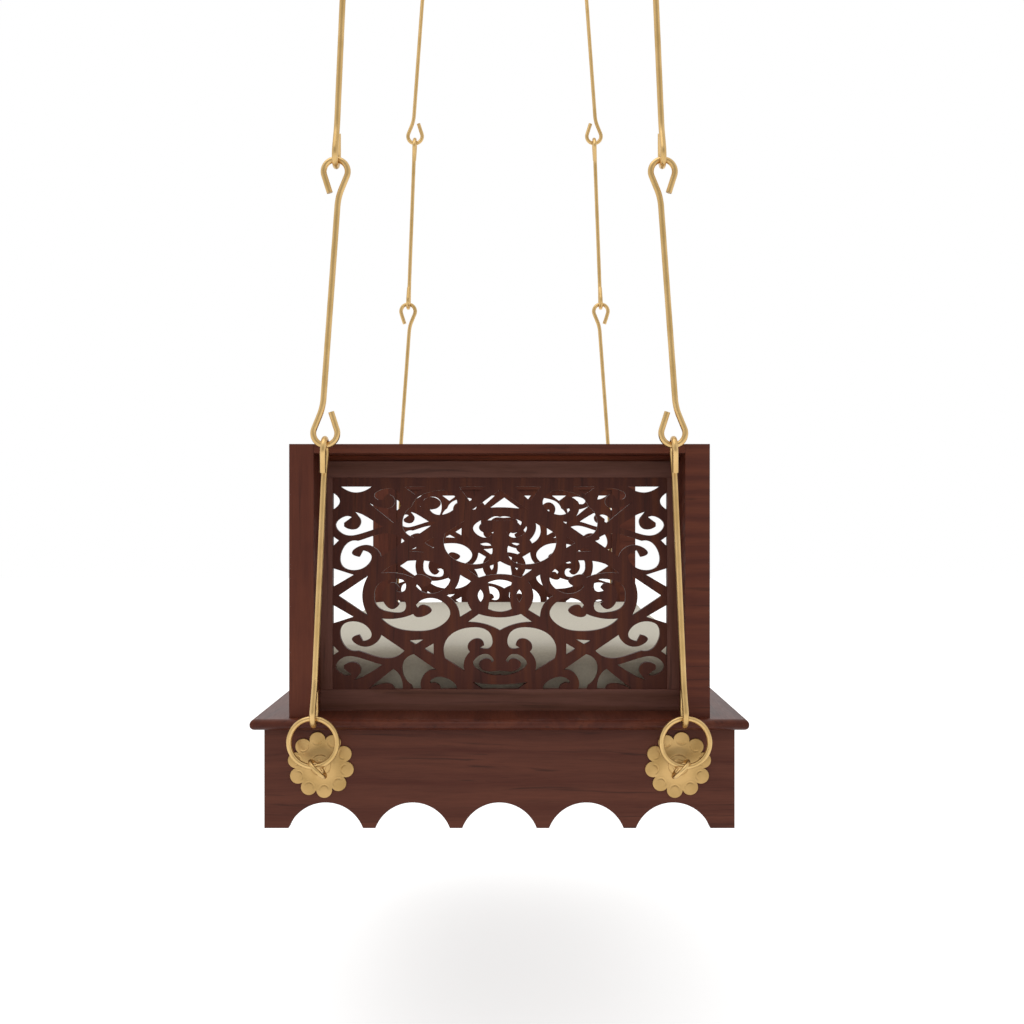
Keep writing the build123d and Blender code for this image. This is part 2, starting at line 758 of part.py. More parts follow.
save(make_eye_bolts(), "eye_bolts")
save(make_eye_nuts(), "eye_nuts")
save(make_ceiling_eyes(), "ceiling_eyes")
save(make_ceiling_plates(), "ceiling_plates")
save(make_ceiling_nuts(), "ceiling_nuts")
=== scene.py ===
"""Looks of a jhoola swing: a plank seat between two pierced arms, hung by four hook-link chains.

Everything is in metres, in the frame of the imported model: the origin lies on the ceiling
between the four studs, +Z is up, Y runs along the seat and the seat swings along X.
"""
import json
import logging
import math
import random
from dataclasses import dataclass
from enum import Enum
from typing import Any

import bmesh
import bpy
from bpy.types import ID, Curve, Material, Mesh, Node, NodeSocket, NodeTree, Object, bpy_prop_collection
from mathutils import Matrix, Vector


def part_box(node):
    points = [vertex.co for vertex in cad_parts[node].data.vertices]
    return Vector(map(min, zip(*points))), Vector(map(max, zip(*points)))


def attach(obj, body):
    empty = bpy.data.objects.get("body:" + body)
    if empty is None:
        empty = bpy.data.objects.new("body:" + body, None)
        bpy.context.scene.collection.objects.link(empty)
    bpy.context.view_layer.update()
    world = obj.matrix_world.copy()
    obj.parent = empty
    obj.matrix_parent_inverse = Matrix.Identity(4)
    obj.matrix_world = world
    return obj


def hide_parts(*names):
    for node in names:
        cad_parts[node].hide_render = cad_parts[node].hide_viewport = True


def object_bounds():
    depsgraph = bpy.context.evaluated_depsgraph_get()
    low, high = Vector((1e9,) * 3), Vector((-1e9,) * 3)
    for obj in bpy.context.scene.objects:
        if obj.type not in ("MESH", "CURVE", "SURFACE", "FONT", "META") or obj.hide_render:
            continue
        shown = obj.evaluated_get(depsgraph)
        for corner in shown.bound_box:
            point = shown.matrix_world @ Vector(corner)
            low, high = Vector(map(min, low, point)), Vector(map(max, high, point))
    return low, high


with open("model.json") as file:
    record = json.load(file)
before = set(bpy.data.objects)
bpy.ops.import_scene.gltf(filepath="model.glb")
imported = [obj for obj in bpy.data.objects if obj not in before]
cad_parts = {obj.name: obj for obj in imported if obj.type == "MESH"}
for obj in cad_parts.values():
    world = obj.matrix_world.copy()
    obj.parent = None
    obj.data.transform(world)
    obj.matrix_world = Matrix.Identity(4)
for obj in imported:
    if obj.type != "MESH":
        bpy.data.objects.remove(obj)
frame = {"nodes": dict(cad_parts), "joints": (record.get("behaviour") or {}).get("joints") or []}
cad_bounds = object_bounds()
log = logging.getLogger("jhoola")

MM = 0.001
UP = Vector((0, 0, 1))
WHITE = (1, 1, 1, 1)
JOINTS = {joint["name"]: Vector(joint["pos_m"]) for joint in frame["joints"]}

# A wave texture of scale 1 repeats after this many metres.
WAVE_PERIOD = 0.314

# The log that every board is cut from: its length, and how far from its heart boards lie.
LOG_LENGTH = 3
LOG_REACH = (0.05, 0.35)

# In a CAD board, points this near are one point and faces this nearly level are one face.
WELD = 0.002 * MM
LEVEL = math.radians(0.4)

# Sandpaper takes off the edges that turn by more than this.
SHARP = math.radians(35)

# A face lies level when its normal's height is above this.
LEVEL_NORMAL = 0.9

# The shortest length that anything is divided by.
LEAST = 0.1 * MM

# A brazed joint swells over this share of its ring to each side.
JOINT_REACH = 0.016

# A rod's path has extra points at these shares of its rounded tip.
TIP_STEPS = (0.12, 0.35, 0.65, 1.0)


class End(Enum):
    """The two ends of the seat, by their sign along Y."""

    NEAR = -1
    FAR = 1


class Side(Enum):
    """The two sides of the seat, by their sign along X."""

    LEFT = -1
    RIGHT = 1


class Grain(Enum):
    """The way a board's grain runs: the axes of its length, width and thickness."""

    ACROSS = (0, 2, 1)
    ALONG = (1, 0, 2)
    UPRIGHT = (2, 0, 1)


@dataclass(frozen=True)
class Corner:
    """One corner of the seat, where a chain holds it."""

    end: End
    side: Side

    @property
    def name(self) -> str:
        """The corner's name, such as near_left."""
        return f"{self.end.name}_{self.side.name}".lower()


CORNERS = [Corner(end, side) for end in End for side in Side]


# ---- colours and nodes ----
def srgb(code: str) -> tuple[float, float, float, float]:
    """Turn an sRGB hex colour into a linear one.

    Args:
        code: a colour such as "#54301f".

    Returns:
        Red, green, blue and alpha, from 0 to 1.
    """
    channels = [int(code[i:i + 2], 16) / 255 for i in (1, 3, 5)]
    linear = [c / 12.92 if c <= 0.04045 else ((c + 0.055) / 1.055) ** 2.4 for c in channels]
    return (linear[0], linear[1], linear[2], 1.0)


def add_node(tree: NodeTree, kind: str, inputs: dict[Any, Any] | None = None,
             stops: dict[float, str] | None = None, **settings: Any) -> Node:
    """Add one node with its settings and links.

    Args:
        tree: the tree that gets the node.
        kind: the node's type.
        inputs: what each input gets, by name or number: a value, a socket, or a node,
            which stands for its first output.
        stops: a colour ramp's hex colours, by their places from left to right.
        settings: the node's own properties.

    Returns:
        The new node.
    """
    node = tree.nodes.new(kind)
    for name, value in settings.items():
        setattr(node, name, value)
    for name, value in (inputs or {}).items():
        if isinstance(value, Node):
            value = value.outputs[0]
        if isinstance(value, NodeSocket):
            tree.links.new(value, node.inputs[name])
        else:
            node.inputs[name].default_value = value
    if stops:
        ramp = node.color_ramp.elements
        while len(ramp) < len(stops):
            ramp.new(1.0)
        for element, (place, code) in zip(ramp, stops.items()):
            element.position = place
            element.color = srgb(code)
    return node


def start_material(name: str) -> tuple[Material, NodeTree]:
    """Make a material whose tree is still empty.

    Args:
        name: the material's name.

    Returns:
        The material and its tree.
    """
    material = bpy.data.materials.new(name)
    material.use_nodes = True
    material.node_tree.nodes.clear()
    return material, material.node_tree


def end_material(tree: NodeTree, surface: dict[str, Any]) -> None:
    """End a material's tree with its surface.

    Args:
        tree: the material's tree.
        surface: what each input of the Principled surface gets.
    """
    shader = add_node(tree, "ShaderNodeBsdfPrincipled", surface)
    add_node(tree, "ShaderNodeOutputMaterial", {"Surface": shader})


# ---- finishes ----
@dataclass(frozen=True)
class SheeshamFinish:
    """Sheesham, planed, stained dark and rubbed to a satin sheen.

    The stain evens the wood out, so the eye sees soft stripes, thin dark veins and fine pores.
    Each cell is one patch of a pattern: its width across the grain and its length along it.
    """

    name: str
    dark: str = "#50251a"
    middle: str = "#5b2c1e"
    light: str = "#683523"
    drift_cell: tuple[float, float] = (70 * MM, 420 * MM)
    stripe_cell: tuple[float, float] = (9 * MM, 260 * MM)
    vein_cell: tuple[float, float] = (6 * MM, 240 * MM)
    pore_cell: tuple[float, float] = (1.4 * MM, 28 * MM)
    knot_cell: tuple[float, float] = (120 * MM, 190 * MM)
    wander: float = 50 * MM
    ring_spacing: float = 19 * MM
    ring_strength: float = 0.30
    vein_strength: float = 0.36
    knot_strength: float = 0.0
    pore_shades: tuple[float, float] = (0.89, 1.03)
    roughness: float = 0.46
    matt: float = 0.10
    polish: float = 0.05
    specular: float = 0.20
    relief: float = 0.08 * MM

    def figure(self, tree: NodeTree, kind: str, place: Any, cell: tuple[float, float],
               **shape: float) -> Node:
        """Add a pattern that is drawn out along the grain.

        Args:
            tree: the material's tree.
            kind: the pattern's node type.
            place: the socket or node that gives a point's place in its board.
            cell: the width and length of one patch.
            shape: the pattern's other inputs.

        Returns:
            The pattern's node.
        """
        width, length = cell
        scaled = add_node(tree, "ShaderNodeMapping", {0: place, "Scale": (1 / length, 1 / width, 1 / width)})
        return add_node(tree, kind, {"Vector": scaled, "Scale": 1.0, **shape})

    def build(self) -> Material:
        """Make the material, which reads a board's own grain coordinates.

        Returns:
            The material.
        """
        material, tree = start_material(self.name)
        board = add_node(tree, "ShaderNodeAttribute", attribute_name="grain").outputs["Vector"]
        drift = self.figure(tree, "ShaderNodeTexNoise", board, self.drift_cell, Detail=2.0)
        warp = add_node(tree, "ShaderNodeVectorMath",
                        {0: drift.outputs["Color"], 1: (0.0, self.wander, self.wander), 2: board},
                        operation="MULTIPLY_ADD")
        rings = add_node(tree, "ShaderNodeTexWave",
                         {"Vector": warp, "Scale": WAVE_PERIOD / self.ring_spacing, "Distortion": 1.6,
                          "Detail": 2.0, "Detail Scale": 1.4}, wave_type="RINGS", rings_direction="X")
        stripes, veins = (self.figure(tree, "ShaderNodeTexNoise", warp, cell, Detail=3.0, Roughness=0.6)
                          for cell in (self.stripe_cell, self.vein_cell))
        pores = self.figure(tree, "ShaderNodeTexNoise", board, self.pore_cell, Detail=2.0)
        knots = self.figure(tree, "ShaderNodeTexVoronoi", warp, self.knot_cell, Randomness=1.0)

        tone = add_node(tree, "ShaderNodeMix", {0: self.ring_strength, 2: stripes, 3: rings.outputs["Fac"]},
                        data_type="FLOAT")
        base = add_node(tree, "ShaderNodeValToRGB", {0: tone},
                        {0.22: self.dark, 0.48: self.middle, 0.80: self.light})
        vein_mask = add_node(tree, "ShaderNodeValToRGB", {0: veins}, {0.30: "#000000", 0.42: "#ffffff"})
        shade = add_node(tree, "ShaderNodeMapRange",
                         {"Value": vein_mask, "To Min": 1 - self.vein_strength, "To Max": 1.0})
        for pattern, start, end, low, high in (
            (pores, 0.3, 0.6, *self.pore_shades),
            (knots.outputs["Distance"], 0.03, 0.13, 1 - self.knot_strength, 1.0),
        ):
            mark = add_node(tree, "ShaderNodeMapRange", {"Value": pattern, "From Min": start, "From Max": end,
                                                         "To Min": low, "To Max": high})
            shade = add_node(tree, "ShaderNodeMath", {0: shade, 1: mark}, operation="MULTIPLY")
        colour = add_node(tree, "ShaderNodeVectorMath", {0: base, "Scale": shade}, operation="SCALE")
        gloss = add_node(tree, "ShaderNodeMapRange", {"Value": pores, "To Min": self.roughness + self.matt,
                                                      "To Max": self.roughness - self.polish})
        relief = add_node(tree, "ShaderNodeBump",
                          {"Strength": 0.15, "Distance": self.relief, "Height": shade})
        end_material(tree, {"Base Color": colour, "Roughness": gloss, "Normal": relief,
                            "Specular IOR Level": self.specular})
        return material


@dataclass(frozen=True)
class BrassFinish:
    """Yellow brass, drawn to wire or pressed from sheet, then lightly buffed.

    Buffing leaves a warm, even glow with slightly duller, browner patches from handling.
    """

    name: str
    bright: str = "#d6b37a"
    dull: str = "#c6a46b"
    patch: float = 30 * MM
    scratch: float = 2.2 * MM
    tooth: float = 0.02 * MM
    roughness: float = 0.30
    matt: float = 0.10
    polish: float = 0.04

    def build(self) -> Material:
        """Make the material.

        Returns:
            The material.
        """
        material, tree = start_material(self.name)
        place = add_node(tree, "ShaderNodeTexCoord").outputs["Object"]
        patches, scratches = (
            add_node(tree, "ShaderNodeTexNoise", {"Vector": place, "Scale": 1 / size, "Detail": detail})
            for size, detail in ((self.patch, 3.0), (self.scratch, 2.0)))
        colour = add_node(tree, "ShaderNodeValToRGB", {0: patches}, {0.34: self.dull, 0.60: self.bright})
        gloss = add_node(tree, "ShaderNodeMapRange",
                         {"Value": patches, "From Min": 0.3, "From Max": 0.7,
                          "To Min": self.roughness + self.matt, "To Max": self.roughness - self.polish})
        relief = add_node(tree, "ShaderNodeBump",
                          {"Strength": 0.25, "Distance": self.tooth, "Height": scratches})
        end_material(tree, {"Base Color": colour, "Roughness": gloss, "Normal": relief, "Metallic": 1.0})
        return material


@dataclass(frozen=True)
class SteelFinish:
    """Plain zinc-plated steel screws: grey, with a fine turned tooth."""

    name: str
    dark: str = "#8f9193"
    light: str = "#b9bbbd"
    tooth: float = 0.9 * MM
    roughness: float = 0.38

    def build(self) -> Material:
        """Make the material.

        Returns:
            The material.
        """
        material, tree = start_material(self.name)
        place = add_node(tree, "ShaderNodeTexCoord").outputs["Object"]
        tooth = add_node(tree, "ShaderNodeTexNoise",
                         {"Vector": place, "Scale": 1 / self.tooth, "Detail": 2.0})
        colour = add_node(tree, "ShaderNodeValToRGB", {0: tooth}, {0.3: self.dark, 0.7: self.light})
        end_material(tree, {"Base Color": colour, "Metallic": 1.0, "Roughness": self.roughness})
        return material


@dataclass(frozen=True)
class CottonFinish:
    """Plain-woven off-white cotton: matt, with a visible over-and-under thread.

    The real thread is finer, so it is drawn at twice its spacing to show at all.
    """

    name: str
    light: str = "#cdc5b1"
    shade: str = "#b3ab97"
    thread: float = 1.5 * MM
    slub_scale: float = 260.0
    weave_strength: float = 0.45
    relief: float = 0.25 * MM
    roughness: float = 0.92
    sheen: float = 0.25

    def build(self) -> Material:
        """Make the material, whose weave follows the cloth's own flat coordinates.

        Returns:
            The material.
        """
        material, tree = start_material(self.name)
        cloth = add_node(tree, "ShaderNodeAttribute", attribute_name="weave").outputs["Vector"]
        threads = {"Vector": cloth, "Scale": WAVE_PERIOD / self.thread, "Distortion": 0.6, "Detail": 1.0}
        warp, weft = (add_node(tree, "ShaderNodeTexWave", threads, bands_direction=axis) for axis in "XY")
        weave = add_node(tree, "ShaderNodeMath", {0: warp.outputs["Fac"], 1: weft.outputs["Fac"]},
                         operation="MULTIPLY")
        slubs = add_node(tree, "ShaderNodeTexNoise",
                         {"Vector": cloth, "Scale": self.slub_scale, "Detail": 3.0})
        tone = add_node(tree, "ShaderNodeMix", {0: self.weave_strength, 2: slubs, 3: weave},
                        data_type="FLOAT")
        colour = add_node(tree, "ShaderNodeValToRGB", {0: tone}, {0.15: self.shade, 0.6: self.light})
        relief = add_node(tree, "ShaderNodeBump", {"Strength": 0.5, "Distance": self.relief, "Height": tone})
        end_material(tree, {"Base Color": colour, "Normal": relief, "Roughness": self.roughness,
                            "Sheen Weight": self.sheen})
        return material


@dataclass(frozen=True)
class Finishes:
    """The finishes that the swing's pieces share, already built."""

    plank: Material
    arm: Material
    frame: Material
    spacer: Material
    jali: Material
    apron: Material
    inner: Material
    wire: Material
    sheet: Material
    steel: Material
    cotton: Material


def build_finishes() -> Finishes:
    """Build each finish once.

    Returns:
        The swing's finishes.
    """
    return Finishes(
        plank=SheeshamFinish("polished_sheesham_plank", dark="#4c2217", middle="#57291b", light="#643220",
                             roughness=0.40, ring_spacing=26 * MM).build(),
        arm=SheeshamFinish("stained_sheesham_arm").build(),
        # Painted sheen: the near frame's colours are lighter and greyer than the arm's, standing in for the
        # white room's reflection on faces in the top rail's shade.
        frame=SheeshamFinish("stained_sheesham_frame", dark="#5b3526", middle="#674034",
                             light="#744b40").build(),
        # Painted bounce light: the spacer's colours are a brighter, more saturated orange, standing in for
        # light bounced about the shaded gap under the top rail.
        spacer=SheeshamFinish("oiled_sheesham_spacer", dark="#5a1f06", middle="#672807",
                              light="#75320d").build(),
        jali=SheeshamFinish("stained_sheesham_jali", dark="#461e15", middle="#4d2419", light="#62311b",
                            ring_strength=0.15).build(),
        apron=SheeshamFinish("stained_sheesham_apron", middle="#5b3023", light="#673829",
                             ring_spacing=34 * MM, ring_strength=0.25, vein_strength=0.42,
                             knot_strength=0.45).build(),
        inner=SheeshamFinish("planed_sheesham_inner", dark="#5d3423", middle="#754a33", light="#8a5c40",
                             roughness=0.6).build(),
        wire=BrassFinish("drawn_brass_wire").build(),
        sheet=BrassFinish("pressed_brass_sheet", bright="#c29f69", dull="#b2915c", roughness=0.36).build(),
        steel=SteelFinish("zinc_plated_steel").build(),
        cotton=CottonFinish("woven_cotton").build(),
    )


# ---- meshes ----
def place_mesh(name: str, mesh: Mesh, material: Material | None) -> Object:
    """Put a finished mesh in the scene as a piece at the origin.

    Args:
        name: the piece's name.
        mesh: its mesh.
        material: its finish, or None if the mesh has one already.

    Returns:
        The piece.
    """
    piece = bpy.data.objects.new(name, mesh)
    bpy.context.scene.collection.objects.link(piece)
    if material is not None:
        mesh.materials.clear()
        mesh.materials.append(material)
    return piece


def settle(piece: Object, body: str, slot: str, *nodes: str) -> None:
    """Make a piece ride on its body and stand for its CAD nodes.

    Args:
        piece: the piece.
        body: the body that it rides on.
        slot: not used.
        nodes: the CAD nodes that it replaces.
    """
    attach(piece, body)
    if nodes:
        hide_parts(*nodes)
    log.info("%s rides on %s", piece.name, body)


def store_grain(mesh: Mesh, grain: Grain) -> None:
    """Store each point's place in its board: along the grain, across it and through it.

    Each board is cut from its own place in the log, so no two show the same figure.

    Args:
        mesh: the board's mesh, whose name picks its place in the log.
        grain: the way its grain runs.
    """
    place = random.Random(mesh.name)
    shift = Vector((place.uniform(0, LOG_LENGTH), place.uniform(*LOG_REACH), place.uniform(*LOG_REACH)))
    attribute = mesh.attributes.new("grain", "FLOAT_VECTOR", "POINT")
    for index, vertex in enumerate(mesh.vertices):
        attribute.data[index].vector = Vector([vertex.co[axis] for axis in grain.value]) + shift


def eased_board(node: str, grain: Grain, ease: float) -> Mesh:
    """Copy a CAD board and take the sharpness off its edges, as sandpaper does.

    Args:
        node: the board's CAD node.
        grain: the way its grain runs.
        ease: the width that is rounded off, in metres, or 0 to leave the edges.

    Returns:
        A mesh of its own, with the board's grain coordinates.
    """
    shape = bmesh.new()
    shape.from_mesh(frame["nodes"][node].data)
    bmesh.ops.remove_doubles(shape, verts=shape.verts, dist=WELD)
    bmesh.ops.dissolve_limit(shape, angle_limit=LEVEL, verts=shape.verts, edges=shape.edges)
    if ease > 0:
        edges = [e for e in shape.edges if len(e.link_faces) == 2 and e.calc_face_angle() > SHARP]
        rounded = bmesh.ops.bevel(shape, geom=edges, offset=ease, segments=2, profile=0.6, affect="EDGES",
                                  clamp_overlap=True)
        for face in rounded["faces"]:
            face.smooth = True
    mesh = bpy.data.meshes.new(f"{node}_eased")
    shape.to_mesh(mesh)
    shape.free()
    store_grain(mesh, grain)
    return mesh


# ---- Geometry Nodes ----
def start_tree(name: str, sizes: tuple[str, ...],
               counts: tuple[str, ...]) -> tuple[NodeTree, bpy_prop_collection]:
    """Start a Geometry Nodes tree that is given a geometry, named sizes and a finish.

    Args:
        name: the tree's name.
        sizes: the names of its sizes.
        counts: the names of its whole numbers.

    Returns:
        The tree and the sockets of what it is given.
    """
    tree = bpy.data.node_groups.new(name, "GeometryNodeTree")
    sockets = [("Geometry", "Geometry"), *[(size, "Float") for size in sizes],
               *[(count, "Int") for count in counts], ("Finish", "Material")]
    for label, kind in sockets:
        tree.interface.new_socket(label, in_out="INPUT", socket_type=f"NodeSocket{kind}")
    tree.interface.new_socket("Geometry", in_out="OUTPUT", socket_type="NodeSocketGeometry")
    return tree, add_node(tree, "NodeGroupInput").outputs


def end_tree(tree: NodeTree, given: bpy_prop_collection, made: Node) -> None:
    """End a tree: smooth faces, real meshes and the finish.

    Args:
        tree: the tree.
        given: the sockets of what it is given.
        made: the node that makes its geometry.
    """
    smooth = add_node(tree, "GeometryNodeSetShadeSmooth", {"Geometry": made})
    real = add_node(tree, "GeometryNodeRealizeInstances", {"Geometry": smooth})
    dressed = add_node(tree, "GeometryNodeSetMaterial", {"Geometry": real, "Material": given["Finish"]})
    add_node(tree, "NodeGroupOutput", {0: dressed})


def draw_wire(tree: NodeTree, given: bpy_prop_collection, path: Any,
              thickness: Node, capped: bool) -> Node:
    """Draw round wire along a path.

    Args:
        tree: the tree, which has the inputs Wire radius and Sides.
        given: the sockets of what it is given.
        path: the node or socket of the path.
        thickness: the wire's thickness along the path, as a share of its own.
        capped: whether its ends are closed.

    Returns:
        The node that makes the wire.
    """
    line = add_node(tree, "GeometryNodeSetCurveRadius", {"Curve": path, "Radius": thickness})
    profile = add_node(tree, "GeometryNodeCurvePrimitiveCircle",
                       {"Resolution": given["Sides"], "Radius": given["Wire radius"]})
    return add_node(tree, "GeometryNodeCurveToMesh",
                    {"Curve": line, "Profile Curve": profile, "Fill Caps": capped})


def bent_rod_tree() -> NodeTree:
    """Make the tree of a round rod along a curve, with its cut ends rounded over.

    Returns:
        The tree.
    """
    tree, given = start_tree("bent_rod", ("Wire radius", "Tip rounding"), ("Sides",))
    total = add_node(tree, "GeometryNodeSplineLength").outputs["Length"]
    along = add_node(tree, "GeometryNodeSplineParameter").outputs["Length"]
    left = add_node(tree, "ShaderNodeMath", {0: total, 1: along}, operation="SUBTRACT")
    nearest = add_node(tree, "ShaderNodeMath", {0: left, 1: along}, operation="MINIMUM")
    inward = add_node(tree, "ShaderNodeMapRange", {"Value": nearest, "From Min": 0.0, "To Min": 1.0,
                                                   "From Max": given["Tip rounding"], "To Max": 0.0})
    square = add_node(tree, "ShaderNodeMath", {0: inward, 1: inward}, operation="MULTIPLY")
    rest = add_node(tree, "ShaderNodeMath", {0: 1.0, 1: square}, operation="SUBTRACT")
    root = add_node(tree, "ShaderNodeMath", {0: rest}, operation="SQRT")
    lost = add_node(tree, "ShaderNodeMath", {0: 1.0, 1: root}, operation="SUBTRACT")
    share = add_node(tree, "ShaderNodeMath", {0: given["Tip rounding"], 1: given["Wire radius"]},
                     operation="DIVIDE")
    drop = add_node(tree, "ShaderNodeMath", {0: lost, 1: share}, operation="MULTIPLY")
    thickness = add_node(tree, "ShaderNodeMath", {0: 1.0, 1: drop}, operation="SUBTRACT")
    end_tree(tree, given, draw_wire(tree, given, given["Geometry"], thickness, True))
    return tree


def closed_ring_tree() -> NodeTree:
    """Make the tree of a ring of round wire, with a slight swelling where its ends are brazed.

    Returns:
        The tree.
    """
    tree, given = start_tree("closed_ring", ("Ring radius", "Wire radius", "Joint swell"), ("Steps", "Sides"))
    circle = add_node(tree, "GeometryNodeCurvePrimitiveCircle",
                      {"Resolution": given["Steps"], "Radius": given["Ring radius"]})
    along = add_node(tree, "GeometryNodeSplineParameter").outputs["Factor"]
    away = add_node(tree, "ShaderNodeMath", {0: along, 1: 0.5}, operation="SUBTRACT")
    distance = add_node(tree, "ShaderNodeMath", {0: away}, operation="ABSOLUTE")
    thickness = add_node(tree, "ShaderNodeMapRange",
                         {"Value": distance, "From Min": 0.0, "From Max": JOINT_REACH,
                          "To Min": given["Joint swell"], "To Max": 1.0}, interpolation_type="SMOOTHSTEP")
    end_tree(tree, given, draw_wire(tree, given, circle, thickness, False))
    return tree


def threaded_stud_tree() -> NodeTree:
    """Make the tree of a screw thread: a ridge wound along a plain core, from z = 0 upwards.

    Returns:
        The tree.
    """
    tree, given = start_tree("threaded_stud", ("Core radius", "Crest", "Pitch", "Length"), ("Sides",))
    core, length = given["Core radius"], given["Length"]
    turns = add_node(tree, "ShaderNodeMath", {0: length, 1: given["Pitch"]}, operation="DIVIDE")
    spiral = add_node(tree, "GeometryNodeCurveSpiral",
                      {"Resolution": given["Sides"], "Rotations": turns, "Start Radius": core,
                       "End Radius": core, "Height": length})
    profile = add_node(tree, "GeometryNodeCurvePrimitiveCircle", {"Resolution": 3, "Radius": given["Crest"]})
    ridge = add_node(tree, "GeometryNodeCurveToMesh",
                     {"Curve": spiral, "Profile Curve": profile, "Fill Caps": True})
    bar = add_node(tree, "GeometryNodeMeshCylinder",
                   {"Vertices": given["Sides"], "Radius": core, "Depth": length})
    half = add_node(tree, "ShaderNodeMath", {0: length, 1: 0.5}, operation="MULTIPLY")
    lift = add_node(tree, "ShaderNodeCombineXYZ", {"Z": half})
    raised = add_node(tree, "GeometryNodeTransform", {"Geometry": bar, "Translation": lift})
    both = add_node(tree, "GeometryNodeJoinGeometry", {0: ridge})
    tree.links.new(raised.outputs[0], both.inputs[0])
    end_tree(tree, given, both)
    return tree


# ---- paths ----
def arc(centre: Vector, radius: float, start: float, sweep: float, step: float = 7.5) -> list[Vector]:
    """Lay points along an arc in a plane, both ends included.

    Args:
        centre: the arc's centre.
        radius: its radius.
        start: its first point's bearing, in degrees.
        sweep: the angle that it covers, in degrees.
        step: the largest angle between two points, in degrees.

    Returns:
        The points.
    """
    count = max(2, math.ceil(abs(sweep) / step))
    angles = [math.radians(start + sweep * i / count) for i in range(count + 1)]
    return [centre + Vector((math.cos(a), math.sin(a))) * radius for a in angles]


def knee(before: Vector, corner: Vector, after: Vector, radius: float, count: int = 7) -> list[Vector]:
    """Round a corner of a plane path with an arc.

    Args:
        before: the path's point before the corner.
        corner: the corner.
        after: the path's point after it.
        radius: the arc's radius.
        count: the number of steps along the arc.

    Returns:
        The arc's points.
    """
    back, ahead = (before - corner).normalized(), (after - corner).normalized()
    half = back.angle(ahead) / 2
    run = radius / math.tan(half)
    centre = corner + (back + ahead).normalized() * (radius / math.sin(half))
    start, end = corner + back * run - centre, corner + ahead * run - centre
    return [centre + start.slerp(end, i / count).normalized() * radius for i in range(count + 1)]


def rod_curve(name: str, points: list[Vector], rounding: float) -> Curve:
    """Make a path curve, with extra points near both ends for their rounding.

    Args:
        name: the curve's name.
        points: the path's points.
        rounding: the length that is rounded at each end.

    Returns:
        The curve.
    """
    first, last = (points[1] - points[0]).normalized(), (points[-2] - points[-1]).normalized()
    steps = [rounding * share for share in TIP_STEPS]
    path = [points[0], *[points[0] + first * s for s in steps], *points[1:-1],
            *[points[-1] + last * s for s in reversed(steps)], points[-1]]
    curve = bpy.data.curves.new(name, "CURVE")
    curve.dimensions = "3D"
    spline = curve.splines.new("POLY")
    spline.points.add(len(path) - 1)
    for point, place in zip(spline.points, path):
        point.co = (*place, 1.0)
    return curve


# ---- brass wire ----
@dataclass
class Smithy:
    """The workshop that bends brass wire, closes it to rings and cuts threads."""

    brass: Material
    wire_sides: int = 20
    thread_sides: int = 24
    thread_crest: float = 0.6 * MM

    def __post_init__(self) -> None:
        """Set up one Geometry Nodes tree for each kind of work."""
        self.rods, self.rings, self.studs = bent_rod_tree(), closed_ring_tree(), threaded_stud_tree()

    def grow(self, name: str, tree: NodeTree, sizes: dict[str, Any], source: ID | None = None) -> Mesh:
        """Run a Geometry Nodes tree and keep the result as a plain mesh.

        Args:
            name: the mesh's name.
            tree: the tree to run.
            sizes: the value of each named input but the finish.
            source: the curve that the tree starts from, if it needs one.

        Returns:
            The finished mesh.
        """
        carrier = bpy.data.objects.new(f"{name}_source", source or bpy.data.meshes.new("empty"))
        bpy.context.scene.collection.objects.link(carrier)
        modifier = carrier.modifiers.new("grow", "NODES")
        modifier.node_group = tree
        sockets = {item.name: item.identifier for item in tree.interface.items_tree if item.in_out == "INPUT"}
        for label, value in {**sizes, "Finish": self.brass}.items():
            modifier[sockets[label]] = value
        depsgraph = bpy.context.evaluated_depsgraph_get()
        mesh = bpy.data.meshes.new_from_object(carrier.evaluated_get(depsgraph), depsgraph=depsgraph)
        mesh.name = name
        bpy.data.objects.remove(carrier)
        return mesh

    def rod(self, name: str, path: list[Vector], diameter: float, rounding: float) -> Mesh:
        """Make a round bar along a path."""
        sizes = {"Wire radius": diameter / 2, "Tip rounding": rounding, "Sides": self.wire_sides}
        return self.grow(name, self.rods, sizes, rod_curve(name, path, rounding))

    def ring(self, name: str, radius: float, wire: float, swell: float, steps: int) -> Mesh:
        """Make a ring of round wire, from its middle radius and its wire's radius."""
        sizes = {"Ring radius": radius, "Wire radius": wire, "Joint swell": swell, "Steps": steps}
        return self.grow(name, self.rings, {**sizes, "Sides": self.wire_sides})

    def thread(self, name: str, start: Vector, way: Vector, diameter: float, pitch: float,
               length: float) -> Mesh:
        """Make a threaded bar.

        Args:
            name: the mesh's name.
            start: where it starts.
            way: the direction it runs in.
            diameter: its diameter over the crests.
            pitch: the distance from crest to crest.
            length: its length.

        Returns:
            Its mesh.
        """
        sizes = {"Core radius": diameter / 2 - self.thread_crest, "Crest": self.thread_crest,
                 "Pitch": pitch, "Length": length, "Sides": self.thread_sides}
        mesh = self.grow(name, self.studs, sizes)
        mesh.transform(Matrix.Translation(start) @ way.to_track_quat("Z", "Y").to_matrix().to_4x4())
        return mesh

    def join(self, name: str, meshes: list[Mesh]) -> Object:
        """Join plain meshes into one piece.

        Args:
            name: the piece's name.
            meshes: the meshes, which are used up.

        Returns:
            The piece.
        """
        shape = bmesh.new()
        for mesh in meshes:
            shape.from_mesh(mesh)
            bpy.data.meshes.remove(mesh)
        joined = bpy.data.meshes.new(name)
        shape.to_mesh(joined)
        shape.free()
        return place_mesh(name, joined, self.brass)


